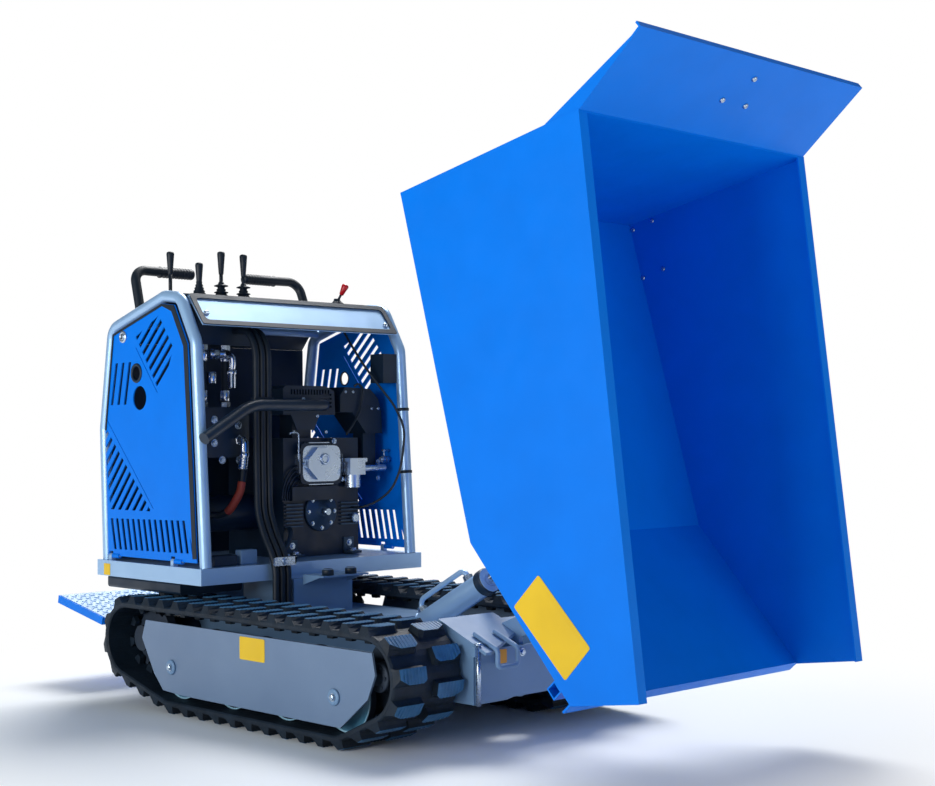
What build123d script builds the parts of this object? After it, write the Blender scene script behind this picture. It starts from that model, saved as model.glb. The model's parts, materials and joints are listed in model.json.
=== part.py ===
"""A compact tracked site dumper with a front-tipping skip, an open engine bay and a stand-on platform.

The part stands on its tracks. X points forward to the skip, Y to the left and Z up, in millimetres.
Its origin is on the ground under the middle of its length and width, with the skip tipped.
"""
import os
from math import atan2, cos, hypot, pi, radians, sin, tan

from build123d import *

os.makedirs("parts", exist_ok=True)

# Running gear: rubber track with two staggered rows of lugs
track_width = 180
track_gauge = 586
link_pitch = 60
wheel_radius = 76
band_thickness = 13
pitch_line_depth = 8
lug_height = 16
lug_base = 40
lug_tip = 26
lug_gap = 28
sprocket_x = -546
idler_x = 322
front_road_wheel_x = 219
road_wheel_span = 584
road_wheel_count = 4
end_wheel_rise = 47
wheel_disc = 14
wheel_disc_spread = 94
axle_radius = 15
sprocket_disc = 22
sprocket_teeth = 9
sprocket_root = 62
sprocket_tooth = 26
sprocket_tooth_corner = 5
sprocket_tooth_gap = 2
motor_radius = 45
hub_radius = 30
hub_length = 88

# Track frames and their outer cover plates
frame_plate = 8
frame_plate_inset = 33
frame_overhang = 40
frame_height = 50
frame_tube = 70
frame_tube_x = (-300, 150)
cover_plate = 5
cover_inset = 11
cover_outline = ((-472, 204), (-488, 162), (-438, 85), (-400, 49), (-321, 45),
                 (236, 45), (321, 111), (344, 161), (334, 204))
running_gap = 0.3

# Chassis between the tracks
chassis_width = 390
chassis_plate = 6
plate_corner = 4
chassis_low = 92
chassis_top = 205
chassis_front = 438
chassis_rear = -700
nose_top_x = 336
nose_top_z = 256
nose_tip_x = 474
nose_tip_z = 200
nose_notch_width = 72
nose_notch_depth = 24
nose_middle_x = 420
nose_middle_width = 120
cylinder_bay_rear = -60
hatch_plate = 5
hatch_inset = 5
bail_rod = 5
bail_bend = 10
bail_spread = 57
bail_y = -140
bail_reach = 6
bail_drop = 32
bail_length = 60

# Skip hinge and tipping cylinder
hinge_x = 603
hinge_z = 300
hinge_arm = 12
hinge_arm_spread = 100
hinge_boss = 26
hinge_pin = 12
hinge_side_gap = 5
hinge_arm_foot = (385, 430)
pin_fit = 0.3
tip_angle = 74.2
cylinder_foot_x = 60
cylinder_foot_z = 195
rod_eye_back = 54
rod_eye_up = 158
barrel_radius = 27
barrel_length = 262
rod_radius = 14
rod_length = 310
eye_radius = 17
eye_width = 26
cylinder_neck = 11
cylinder_pin = 9
foot_lug = 10
foot_lug_spread = 60
floor_lug = 12
floor_lug_spread = 64
floor_lug_root = 3
pin_stub = 2
supply_pipe = 6
supply_pipe_bend = 18
supply_pipe_rise = 52
supply_pipe_span = (36, 203)

# Skip, given as it lies when lowered
skip_width = 692
skip_wall = 4
skip_rear_low = (-225.8, 320.4)
skip_rear_top = (-187.7, 792.9)
skip_mouth_top = (824.7, 635.3)
skip_lip = (802.9, 481.4)
skip_floor_front = (473.3, 319.0)
rim_flange = 22
lip_flange = 22
stiffener = 25
stiffener_wall = 3
stiffener_back = 30
hinge_lug_foot = (70, 230)
floor_lug_foot = 36
guard_top = (-263.3, 958.7)
guard_flange = 14
gusset_foot = 87

# Deck and engine housing
deck_width = 676
deck_rear = -742
deck_front = -296
deck_low = 291
deck_top = 329
deck_sheet = 4
deck_beam = 40
tube_radius = 14
hoop_inset = 24
hoop_foot_inset = (13, 16)
hoop_rear_mid = (-742, 650)
hoop_rear_bend = (-704, 897)
hoop_peak_rear = (-472, 963)
hoop_peak_front = (-408, 955)
hoop_shoulder = (-347, 850)
hoop_bend = 38
panel_sheet = 3
panel_gap = 18
panel_hinge_rise = 11
panel_offset = 10
panel_knuckle = 6
panel_knuckle_length = 30
panel_knuckle_gap = 5
panel_hinge_pin = 3
panel_hinge_inset = (52, 124)
slot_width = 11
round_holes = ((-569, 724, 29), (-582, 784, 17))
cut_width = 2
cut_lines = (((-586, 845), (-493, 734)), ((-723, 678), (-512, 459)))
# Each vent's outline, the lean of its slots in degrees, their pitch and a point on one of them
vents = ((((-709, 431), (-377, 436), (-341, 361), (-694, 356)), -77.7, 23.4, (-688, 394)),
         (((-733, 664), (-520, 453), (-703, 453)), 48, 23.6, (-650, 501)),
         (((-586, 872), (-485, 918), (-424, 838), (-446, 790), (-488, 741)), 43, 23.6, (-502, 846)),
         (((-680, 811), (-601, 812), (-624, 709), (-703, 709)), 77.6, 29, (-653, 760)))
console_sheet = 3
console_line = ((-400, 965), (-470, 972), (-695, 915), (-737, 868))
front_panel_low = (-340, 890)
cross_tube = 10
cross_tube_x = (-470, -670)
pedestal_width = 180
pedestal_front = -276
pedestal_length = 200
rear_stand_length = 60
rest_bracket = 4
rest_front = -200
rest_width = 140
rest_y = 8
rest_pad_radius = 13
rest_pad_y = (-37, 33)
rest_pad_height = 15
rest_gap = 5

# Rear platform
platform_width = 600
platform_depth = 240
platform_thick = 20
platform_tilt = 10.4
platform_hinge_x = -765
platform_hinge_z = 166
platform_sheet = 4
platform_front_gap = 20
platform_pin = 6
platform_boss = 14
platform_bracket = 8
platform_bracket_y = 154
platform_bracket_foot = 40
platform_bracket_rise = 10
platform_lug_gap = 5

# Controls on the console
handlebar_radius = 12
handlebar_foot = (-655, 35)
handlebar_bend = (-700, 42, 1048)
handlebar_end = (-706, 218, 1047)
handlebar_flange = (20, 6)
handlebar_bend_radius = 36
lever_places = ((-550, 50, 1080), (-450, 65, 1046), (-455, 132, 1078), (-455, 198, 1076))
lever_radius = 5
lever_boot = (18, 9, 36)
lever_knob = (9, 34)
throttle_place = (-460, 102)
throttle_tip = (-442, 87, 1016)

# Engine and hydraulics
engine_size = (230, 240, 230)
engine_front = -412
engine_inset = 113
engine_low = 395
engine_ledge = (20, 143, 34)
engine_ledge_place = (-36, 75)
valve_cover = (18, 136, 106)
valve_cover_raised = (32, 102, 80)
valve_cover_chamfer = 30
valve_cover_shift = (-15, 51)
muffler_depth = 120
muffler_outline = ((-84, -22), (-84, 42), (-76, 50), (49, 50), (78, 38), (81, -22))
muffler_shift = (-45, 80)
muffler_foot = ((-60, -22), (30, -22), (13, -60), (-41, -60))
muffler_foot_plate = 5
muffler_neck = (50, 60)
louvre = (5, 5, 13)
louvre_count = 14
louvre_pitch = 9
louvre_start = (-58, 41)
side_louvre = (5, 32, 5)
side_louvre_count = 4
side_louvre_pitch = 10
side_louvre_start = (53, 26)
exhaust_radius = 14
exhaust_bends = (25, 150)
exhaust_route = ((-400, 75, 706), (-350, 75, 706), (-320, -180, 704), (-287, -335, 625))
air_cleaner_depth = 80
air_cleaner_outline = ((-68, 65), (-67, 108), (-51, 129), (33, 125), (60, 100), (71, 66), (73, 11), (18, 11),
                       (-28, 65))
air_duct = (40, 42, 98)
air_duct_gap = 18
air_duct_neck = 34
carburettor_flange = (50, 56, 10)
carburettor_body = (46, 50, 32)
carburettor_bowl = (20, 32)
carburettor_shift = (-38.5, 178)
fuel_tap = (8, 82)
pump_radius = 45
pump_end = -200
pump_x = -540
pump_z = 440
valve_plate = (110, 130, 120)
valve_plate_y = -185
valve_plate_low = 580
valve_leg = 12
control_valve = (120, 180, 75)
control_valve_y = -180
control_valve_low = 850
control_hanger = 10
oil_tank = ((-715, -325, 262), (-400, -150, 291))
tank_corner = 7
drop_hose_radius = 9
drop_hose_shift = (30, -10)
relay_box = (50, 46, 74)
relay_box_low = 765
cable_radius = 3
cable_route = ((-455, 199, 966.8), (-455, 199, 925), (-425, 207, 875), (-385, 219, 815), (-345, 240, 757),
               (-312, 264, 706), (-296, 283, 650), (-298, 281, 595), (-306, 276, 540), (-320, 260, 492),
               (-345, 232, 461), (-378, 205, 446), (-411.9, 205, 446))
hose_radius = 8
hose_run_share = 0.45
hose_rows = (-104, -122, -140)
bundle_route = ((-440, 885), (-385, 885), (-354, 840), (-354, 640), (-350, 450),
                (-325, 395), (-294, 352), (-279, 318), (-279, 205))
pressure_hose_radius = 9
pressure_hose_route = ((-410, -153, 621), (-384, -153, 621), (-382, -155, 560), (-384, -163, 500),
                       (-402, -178, 458), (-440, -182, 440), (-495, -182, 440))
hose_clamp = ((-322, -126), (-303, -72))
hose_clamp_height = 14

SIDES = (("right", -1), ("left", 1))

wheel_low_z = lug_height + band_thickness + wheel_radius
end_wheel_z = wheel_low_z + end_wheel_rise
rear_road_wheel_x = front_road_wheel_x - road_wheel_span
track_y = track_gauge / 2
track_outer = track_y + track_width / 2
track_inner = track_y - track_width / 2
pitch_radius = wheel_radius + pitch_line_depth
band_above = band_thickness - pitch_line_depth


def xz_outline(points, low_y, high_y, mode=Mode.ADD):
    """Adds a flat piece with an outline of (x, z) points between two y values."""
    with BuildSketch(Plane.XZ.offset(-high_y)) as outline:
        with BuildLine():
            Polyline(*points, close=True)
        make_face()
    extrude(outline.sketch, amount=high_y - low_y, mode=mode)


def block(low, high, mode=Mode.ADD):
    """Adds a box between two corners."""
    size = [b - a for a, b in zip(low, high)]
    middle = [(a + b) / 2 for a, b in zip(low, high)]
    with Locations(tuple(middle)):
        Box(*size, mode=mode)


def rod(start, end, radius, mode=Mode.ADD):
    """Adds a round bar from one point to another."""
    axis = Vector(*end) - Vector(*start)
    with BuildSketch(Plane(origin=start, z_dir=axis)) as section:
        Circle(radius)
    extrude(section.sketch, amount=axis.length, mode=mode)


def bent_tube(points, radius, bend):
    """Adds a round bar along straight runs joined by bends, one bend radius or a list of them."""
    with BuildLine() as route:
        FilletPolyline(*points, radius=bend)
    with BuildSketch(Plane(origin=route.line @ 0, z_dir=route.line % 0)) as section:
        Circle(radius)
    sweep(section.sketch, path=route.line)


def hull_plate(circles, low_y, high_y, mode=Mode.ADD):
    """Adds a plate whose outline wraps round (x, z, radius) circles, between two y values."""
    with BuildSketch(Plane.XZ.offset(-high_y)) as outline:
        for x, z, radius in circles:
            with Locations((x, z)):
                Circle(radius)
        make_hull()
    extrude(outline.sketch, amount=high_y - low_y, mode=mode)


def strip(start, end, near, far, low_y, high_y, mode=Mode.ADD):
    """Adds a flat bar along a line of (x, z) points, between two distances to its left."""
    along = (end[0] - start[0], end[1] - start[1])
    left = (-along[1], along[0])
    corners = [shifted(start, left, near), shifted(end, left, near),
               shifted(end, left, far), shifted(start, left, far)]
    xz_outline(corners, low_y, high_y, mode)


def export(part, name):
    """Writes one finished piece."""
    part.label = name
    export_step(part, f"parts/{name}.step")


def shifted(point, direction, distance):
    """Moves a point a distance along a direction."""
    length = hypot(*direction)
    return tuple(a + distance * d / length for a, d in zip(point, direction))


def x_on_line(start, end, z):
    """Gives the x at a height on a line of (x, z) points."""
    return start[0] + (end[0] - start[0]) * (z - start[1]) / (end[1] - start[1])


def track_route():
    """Gives the loop's straight runs and arcs as (kind, length, data), from under the rear road wheel."""
    centres = [(rear_road_wheel_x, wheel_low_z), (front_road_wheel_x, wheel_low_z),
               (idler_x, end_wheel_z), (sprocket_x, end_wheel_z)]
    pieces = []
    for index, centre in enumerate(centres):
        following = centres[(index + 1) % len(centres)]
        after = centres[(index + 2) % len(centres)]
        heading = atan2(following[1] - centre[1], following[0] - centre[0])
        turned = atan2(after[1] - following[1], after[0] - following[0])
        turn = (turned - heading) % (2 * pi)
        pieces.append(("run", hypot(following[0] - centre[0], following[1] - centre[1]), (centre, heading)))
        pieces.append(("arc", turn * pitch_radius, (following, heading)))
    return pieces


loop_pieces = track_route()
loop_length = sum(piece[1] for piece in loop_pieces)
link_count = round(loop_length / link_pitch)
link_step = loop_length / link_count


def loop_point(distance, height):
    """Gives the (x, z) point at a distance along the pitch line and a height outside it."""
    distance %= loop_length
    for kind, length, (centre, heading) in loop_pieces:
        if distance <= length:
            break
        distance -= length
    if kind == "arc":
        outward = heading - pi / 2 + distance / pitch_radius
        reach = pitch_radius + height
        return centre[0] + reach * cos(outward), centre[1] + reach * sin(outward)
    outward = heading - pi / 2
    reach = pitch_radius + height
    return (centre[0] + reach * cos(outward) + distance * cos(heading),
            centre[1] + reach * sin(outward) + distance * sin(heading))


def lug_row(phase, low_y, high_y):
    """Adds one row of lugs with the band under it."""
    points = []
    for link in range(link_count):
        middle = (link + phase) * link_step
        points += [loop_point(middle - lug_base / 2, band_above),
                   loop_point(middle - lug_tip / 2, band_above + lug_height),
                   loop_point(middle + lug_tip / 2, band_above + lug_height),
                   loop_point(middle + lug_base / 2, band_above)]
    xz_outline(points, low_y, high_y)


def plain_row(low_y, high_y):
    """Adds a stretch of the band without lugs."""
    points = []
    for link in range(link_count):
        for place in (-lug_base / 2, lug_base / 2 - link_step / 2, link_step / 2 - lug_base / 2, lug_base / 2):
            points.append(loop_point(link * link_step + place, band_above))
    xz_outline(points, low_y, high_y)


def band_inside(low_y, high_y):
    """Cuts the room for the wheels and frame out of a track."""
    reach = pitch_radius - pitch_line_depth
    with BuildSketch(Plane.XZ.offset(-high_y)) as room:
        with Locations((rear_road_wheel_x, wheel_low_z), (front_road_wheel_x, wheel_low_z),
                       (idler_x, end_wheel_z), (sprocket_x, end_wheel_z)):
            Circle(reach)
        make_hull()
    extrude(room.sketch, amount=high_y - low_y, mode=Mode.SUBTRACT)


for side, sign in SIDES:
    low_y, high_y = sorted((sign * track_outer, sign * track_inner))
    middle_low = sign * track_y - lug_gap / 2
    middle_high = sign * track_y + lug_gap / 2
    with BuildPart() as track:
        lug_row(0 if sign < 0 else 0.5, low_y, middle_low)
        plain_row(middle_low, middle_high)
        lug_row(0.5 if sign < 0 else 0, middle_high, high_y)
        band_inside(low_y, high_y)
    export(track.part, f"track_{side}")

# Wheels, each turned about its own axle line
for side, sign in SIDES:
    y = sign * track_y
    plate_out_y = sign * (track_inner + frame_plate_inset + frame_plate / 2)
    plate_in_y = sign * (track_inner + frame_plate_inset - frame_plate / 2)
    cover_in_y = sign * (track_outer - cover_inset - cover_plate)
    with BuildPart() as road_wheels:
        for number in range(road_wheel_count):
            x = rear_road_wheel_x + number * road_wheel_span / (road_wheel_count - 1)
            rod((x, plate_out_y, wheel_low_z), (x, cover_in_y, wheel_low_z), axle_radius)
            for shift in (-wheel_disc_spread / 2, wheel_disc_spread / 2 - wheel_disc):
                rod((x, y + shift, wheel_low_z), (x, y + shift + wheel_disc, wheel_low_z),
                    wheel_radius - running_gap)
    export(road_wheels.part, f"road_wheels_{side}")

    with BuildPart() as idler:
        rod((idler_x, plate_out_y, end_wheel_z), (idler_x, cover_in_y, end_wheel_z), axle_radius)
        rod((idler_x, y - sprocket_disc / 2, end_wheel_z), (idler_x, y + sprocket_disc / 2, end_wheel_z),
            wheel_radius - running_gap)
        rod((idler_x, y - hub_length / 2, end_wheel_z), (idler_x, y + hub_length / 2, end_wheel_z), hub_radius)
    export(idler.part, f"idler_{side}")

    tooth_length = 2 * (wheel_radius - sprocket_root - sprocket_tooth_gap)
    with BuildPart() as sprocket:
        rod((sprocket_x, y - sprocket_disc / 2, end_wheel_z), (sprocket_x, y + sprocket_disc / 2, end_wheel_z),
            sprocket_root)
        with BuildSketch(Plane.XZ.offset(-y - sprocket_disc / 2)):
            with Locations((sprocket_x, end_wheel_z)):
                with PolarLocations(sprocket_root, sprocket_teeth):
                    RectangleRounded(tooth_length, sprocket_tooth, sprocket_tooth_corner)
        extrude(amount=sprocket_disc)
        rod((sprocket_x, sign * chassis_width / 2, end_wheel_z), (sprocket_x, y, end_wheel_z), motor_radius)
        rod((sprocket_x, y - hub_length / 2, end_wheel_z), (sprocket_x, y + hub_length / 2, end_wheel_z),
            hub_radius)
    export(sprocket.part, f"sprocket_{side}")

    # Frame plate on the inside of the wheels, with cross tubes to the chassis
    with BuildPart() as track_frame:
        low_y, high_y = sorted((plate_in_y, plate_out_y))
        frame_rear = rear_road_wheel_x - frame_overhang
        xz_outline([(frame_rear, wheel_low_z - frame_height / 2),
                    (front_road_wheel_x + frame_overhang, wheel_low_z - frame_height / 2),
                    (idler_x + frame_overhang, end_wheel_z - frame_height / 2),
                    (idler_x + frame_overhang, end_wheel_z + frame_height / 2),
                    (frame_rear, end_wheel_z + frame_height / 2)], low_y, high_y)
        near, far = sorted((sign * chassis_width / 2, plate_in_y))
        for x in frame_tube_x:
            block((x - frame_tube / 2, near, wheel_low_z), (x + frame_tube / 2, far, wheel_low_z + frame_height))
    export(track_frame.part, f"track_frame_{side}")

    with BuildPart() as cover:
        low_y, high_y = sorted((cover_in_y, cover_in_y + sign * cover_plate))
        xz_outline(cover_outline, low_y, high_y)
    export(cover.part, f"side_cover_{side}")


def tipped(point):
    """Turns an (x, z) point of the lowered skip about its hinge to where it is when tipped."""
    x, z = point[0] - hinge_x, point[1] - hinge_z
    turn = radians(tip_angle)
    return hinge_x + cos(turn) * x + sin(turn) * z, hinge_z - sin(turn) * x + cos(turn) * z


def along_line(start, end, distance):
    """Gives the point at a distance from the start of a line towards its end."""
    return shifted(start, (end[0] - start[0], end[1] - start[1]), distance)


# Chassis box with the sloped nose, the skip's hinge arms and the lugs of the cylinder and platform
half_width = chassis_width / 2
nose_slope = (nose_tip_z - nose_top_z) / (nose_tip_x - nose_top_x)


def nose_z(x):
    """Gives the height of the nose plate's top face."""
    return nose_top_z + nose_slope * (x - nose_top_x)


with BuildPart() as chassis:
    for low_y in (-half_width, half_width - chassis_plate):
        xz_outline([(chassis_rear, chassis_low), (chassis_front, chassis_low),
                    (chassis_front, nose_z(chassis_front) - chassis_plate), (nose_tip_x, nose_tip_z),
                    (nose_top_x, nose_top_z), (nose_top_x, chassis_top), (chassis_rear, chassis_top)],
                   low_y, low_y + chassis_plate)
    block((chassis_rear, -half_width, chassis_low), (chassis_front, half_width, chassis_low + chassis_plate))
    block((chassis_rear, -half_width, chassis_top - chassis_plate), (cylinder_bay_rear, half_width, chassis_top))
    for x in (chassis_rear, cylinder_bay_rear - chassis_plate):
        block((x, -half_width, chassis_low), (x + chassis_plate, half_width, chassis_top))
    strip((nose_tip_x, nose_tip_z), (nose_top_x, nose_top_z), 0, chassis_plate, -half_width, half_width)
    nose_end = nose_tip_x + chassis_plate
    with BuildSketch() as nose_cuts:
        with BuildLine():
            Polyline((nose_middle_x, -nose_middle_width / 2), (nose_end, -half_width), (nose_end, half_width),
                     (nose_middle_x, nose_middle_width / 2), close=True)
        make_face()
        with Locations((nose_top_x + nose_notch_depth, 0)):
            Rectangle(nose_notch_depth + chassis_plate, nose_notch_width, align=(Align.MAX, Align.CENTER))
    extrude(nose_cuts.sketch, amount=2 * nose_top_z, mode=Mode.SUBTRACT)
    for sign in (-1, 1):
        middle_y = sign * hinge_arm_spread / 2
        low_y, high_y = middle_y - hinge_arm / 2, middle_y + hinge_arm / 2
        foot_rear, foot_front = hinge_arm_foot
        hull_plate([(foot_rear, nose_z(foot_rear), plate_corner), (foot_front, nose_z(foot_front), plate_corner),
                    (hinge_x, hinge_z, hinge_boss)], low_y, high_y)
        xz_outline([(foot_rear, chassis_low), (foot_front, chassis_low), (foot_front, nose_z(foot_front)),
                    (foot_rear, nose_z(foot_rear))], low_y, high_y)
        middle_y = sign * foot_lug_spread / 2
        low_y, high_y = sorted((middle_y, middle_y - sign * foot_lug))
        hull_plate([(cylinder_foot_x, cylinder_foot_z, eye_radius),
                    (cylinder_foot_x - eye_radius, chassis_low + plate_corner, plate_corner),
                    (cylinder_foot_x + eye_radius, chassis_low + plate_corner, plate_corner)], low_y, high_y)
        low_y = sign * platform_bracket_y - platform_bracket / 2
        hull_plate([(chassis_rear, chassis_low + platform_bracket_foot, plate_corner),
                    (chassis_rear, platform_hinge_z + platform_bracket_rise, plate_corner),
                    (platform_hinge_x, platform_hinge_z, platform_boss)], low_y, low_y + platform_bracket)
        pin_start = sign * (platform_bracket_y + platform_bracket / 2)
        pin_end = sign * (platform_bracket_y - platform_bracket * 3 / 2 - platform_lug_gap)
        rod((platform_hinge_x, pin_start, platform_hinge_z), (platform_hinge_x, pin_end, platform_hinge_z),
            platform_pin)
    rod((cylinder_foot_x, -foot_lug_spread / 2, cylinder_foot_z),
        (cylinder_foot_x, foot_lug_spread / 2, cylinder_foot_z), cylinder_pin)
    pin_half = hinge_arm_spread / 2 + hinge_arm * 3 / 2 + hinge_side_gap
    rod((hinge_x, -pin_half, hinge_z), (hinge_x, pin_half, hinge_z), hinge_pin)
export(chassis.part, "chassis")

# Tie-down bar, a bent rod whose two ends lie on the nose plate
with BuildPart() as tie_down:
    near_y, far_y = bail_y - bail_spread / 2, bail_y + bail_spread / 2
    rear_x, front_x = nose_tip_x - bail_length, nose_tip_x + bail_reach
    lift = (bail_rod + pin_fit) * hypot(1, nose_slope)
    bent_tube([(rear_x, near_y, nose_z(rear_x) + lift), (front_x, near_y, nose_z(front_x) + lift),
               (front_x, near_y, nose_tip_z - bail_drop), (front_x, far_y, nose_tip_z - bail_drop),
               (front_x, far_y, nose_z(front_x) + lift), (rear_x, far_y, nose_z(rear_x) + lift)],
              bail_rod, bail_bend)
export(tie_down.part, "tie_down_bar")

with BuildPart() as hatch:
    edge = half_width - hatch_inset
    block((chassis_front, -edge, chassis_low + hatch_inset), (chassis_front + hatch_plate, edge,
                                                             nose_tip_z))
    pin_x = chassis_front + 1.5 * hatch_plate
    rod((pin_x, -edge, chassis_low), (pin_x, -edge, nose_tip_z), hatch_plate)
export(hatch.part, "front_hatch")

# Skip, with its hinge lugs and the lugs of the cylinder's rod
rear_low = tipped(skip_rear_low)
rear_top = tipped(skip_rear_top)
mouth_top = tipped(skip_mouth_top)
lip = tipped(skip_lip)
floor_front = tipped(skip_floor_front)
rod_eye = (hinge_x - rod_eye_back, hinge_z + rod_eye_up)
skip_half = skip_width / 2
lip_down = shifted(lip, (lip[1] - floor_front[1], floor_front[0] - lip[0]), lip_flange)

rim_end = along_line(rear_top, mouth_top, skip_wall / 2)

with BuildPart() as skip:
    for low_y in (-skip_half, skip_half - skip_wall):
        xz_outline([rear_low, rear_top, mouth_top, lip, floor_front], low_y, low_y + skip_wall)
    for start, end in ((rear_top, rear_low), (rear_low, floor_front), (floor_front, lip)):
        strip(start, end, 0, skip_wall, -skip_half, skip_half)
    strip(lip_down, lip, 0, skip_wall, -skip_half, skip_half)
    for low_y in (-skip_half, skip_half - rim_flange):
        strip(mouth_top, rim_end, 0, skip_wall, low_y, low_y + rim_flange)
    tube_start = along_line(lip, floor_front, stiffener_back)
    tube_end = along_line(lip, floor_front, stiffener_back + stiffener)
    strip(tube_start, tube_end, 0, stiffener, -skip_half, skip_half)
    bore_start = along_line(lip, floor_front, stiffener_back + stiffener_wall)
    bore_end = along_line(lip, floor_front, stiffener_back + stiffener - stiffener_wall)
    strip(bore_start, bore_end, stiffener_wall, stiffener - stiffener_wall, -skip_half, skip_half, Mode.SUBTRACT)
    for sign in (-1, 1):
        near = hinge_arm_spread / 2 + hinge_arm / 2 + hinge_side_gap
        low_y, high_y = sorted((sign * near, sign * (near + hinge_arm)))
        feet = [along_line(floor_front, lip, distance) for distance in hinge_lug_foot]
        hull_plate([(hinge_x, hinge_z, hinge_boss), (*feet[0], skip_wall), (*feet[1], skip_wall)], low_y, high_y)
        middle_y = sign * floor_lug_spread / 2
        low_y, high_y = sorted((middle_y, middle_y - sign * floor_lug))
        foot_end = along_line(floor_front, rear_low, skip_wall)
        foot_start = along_line(floor_front, rear_low, 2 * floor_lug_foot)
        hull_plate([(*rod_eye, eye_radius), (*foot_start, floor_lug_root), (*foot_end, floor_lug_root)],
                   low_y, high_y)
        pin_low, pin_high = sorted((sign * (floor_lug_spread / 2 + pin_stub),
                                    sign * (eye_width / 2 + hinge_side_gap)))
        rod((rod_eye[0], pin_low, rod_eye[1]), (rod_eye[0], pin_high, rod_eye[1]), cylinder_pin)
    rod((hinge_x, -skip_half, hinge_z), (hinge_x, skip_half, hinge_z), hinge_pin + pin_fit, Mode.SUBTRACT)
export(skip.part, "skip")

# Guard above the skip's rear wall, with a gusset at each end
guard_peak = tipped(guard_top)
with BuildPart() as guard:
    edge = skip_half - skip_wall / 2
    foot = along_line(rear_top, rear_low, gusset_foot)
    strip(guard_peak, rear_top, -skip_wall, 0, -edge, edge)
    for low_y in (-edge, edge - skip_wall):
        xz_outline([guard_peak, rear_top, foot], low_y, low_y + skip_wall)
    flange_end = shifted(guard_peak, (rear_top[1] - guard_peak[1], guard_peak[0] - rear_top[0]), guard_flange)
    strip(guard_peak, flange_end, 0, skip_wall, -edge, edge)
export(guard.part, "spill_guard")

# Tipping cylinder along the line from its foot to the rod's eye
reach = (rod_eye[0] - cylinder_foot_x, rod_eye[1] - cylinder_foot_z)
foot = (cylinder_foot_x, cylinder_foot_z)


def on_cylinder(distance, rise=0):
    """Gives the point at a distance from the cylinder's foot pin and a rise above its axis."""
    x, z = shifted(shifted(foot, reach, distance), (-reach[1], reach[0]), rise)
    return x, 0, z


with BuildPart() as barrel:
    rod(on_cylinder(1.5 * eye_radius), on_cylinder(barrel_length), barrel_radius)
    rod(on_cylinder(0), on_cylinder(2 * eye_radius), cylinder_neck)
    rod((cylinder_foot_x, -eye_width / 2, cylinder_foot_z), (cylinder_foot_x, eye_width / 2, cylinder_foot_z),
        eye_radius)
    pipe_start, pipe_end = supply_pipe_span
    seat = barrel_radius - supply_pipe
    bent_tube([on_cylinder(pipe_start, seat), on_cylinder(pipe_start, supply_pipe_rise),
               on_cylinder(pipe_end, supply_pipe_rise), on_cylinder(pipe_end, seat)],
              supply_pipe, supply_pipe_bend)
    rod(on_cylinder(2 * eye_radius + rod_radius), on_cylinder(barrel_length + 1), rod_radius + pin_fit, Mode.SUBTRACT)
    rod((cylinder_foot_x, -eye_width, cylinder_foot_z), (cylinder_foot_x, eye_width, cylinder_foot_z),
        cylinder_pin + pin_fit, Mode.SUBTRACT)
export(barrel.part, "cylinder_barrel")

stroke_out = hypot(*reach)
with BuildPart() as cylinder_rod:
    rod(on_cylinder(stroke_out - rod_length), on_cylinder(stroke_out), rod_radius)
    rod((rod_eye[0], -eye_width / 2, rod_eye[1]), (rod_eye[0], eye_width / 2, rod_eye[1]), eye_radius)
export(cylinder_rod.part, "cylinder_rod")

# Deck with a skirt all round, two beams across and the side panels' hinge lugs
deck_half = deck_width / 2
panel_hinge_z = deck_top + panel_hinge_rise
panel_hinge_x = (deck_rear + panel_hinge_inset[0], deck_front - panel_hinge_inset[1])
hoop_y = deck_half - hoop_inset
panel_y = hoop_y + panel_offset
pedestal_rear = pedestal_front - pedestal_length
with BuildPart() as deck:
    block((deck_rear, -deck_half, deck_low), (deck_front, deck_half, deck_top))
    block((deck_rear + deck_sheet, deck_sheet - deck_half, deck_low),
          (deck_front - deck_sheet, deck_half - deck_sheet, deck_top - deck_sheet), Mode.SUBTRACT)
    for x in (pedestal_rear, deck_front - deck_sheet - deck_beam, deck_rear + deck_sheet + deck_beam):
        block((x, -deck_half, deck_low), (x + deck_beam, deck_half, deck_top))
    for sign in (-1, 1):
        y = sign * panel_y
        for x in panel_hinge_x:
            block((x - 2 * panel_knuckle, y - panel_knuckle, deck_top - deck_sheet),
                  (x - running_gap, y + panel_knuckle, panel_hinge_z))
            rod((x - 2 * panel_knuckle, y, panel_hinge_z), (x - running_gap, y, panel_hinge_z), panel_knuckle)
            rod((x - running_gap, y, panel_hinge_z), (x + panel_knuckle_length, y, panel_hinge_z),
                panel_hinge_pin)
export(deck.part, "deck")

with BuildPart() as pedestal:
    half = pedestal_width / 2
    block((pedestal_rear, -half, chassis_top), (pedestal_front, half, deck_low))
    stand_rear = deck_rear + deck_sheet + deck_beam
    block((stand_rear, -half, chassis_top), (stand_rear + rear_stand_length, half, deck_low))
export(pedestal.part, "pedestal")

# Rest under the rear edge of the lowered skip
rest_top = skip_rear_low[1] - rest_gap - rest_pad_height
with BuildPart() as skip_rest:
    block((pedestal_front, rest_y - rest_width / 2, rest_top - rest_bracket),
          (rest_front, rest_y + rest_width / 2, rest_top))
    for y in (rest_y - rest_width / 2, rest_y + rest_width / 2 - rest_bracket):
        xz_outline([(pedestal_front, deck_low - rest_pad_height), (pedestal_front, rest_top),
                    (rest_front, rest_top)], y, y + rest_bracket)
    for y in rest_pad_y:
        x = rest_front - rest_pad_radius
        with Locations((x, y, rest_top)):
            Cylinder(rest_pad_radius, rest_pad_height, align=(Align.CENTER, Align.CENTER, Align.MIN))
export(skip_rest.part, "skip_rest")

with BuildPart() as tank:
    block(*oil_tank)
    fillet(tank.edges().filter_by(Axis.X), radius=tank_corner)
export(tank.part, "oil_tank")

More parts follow.
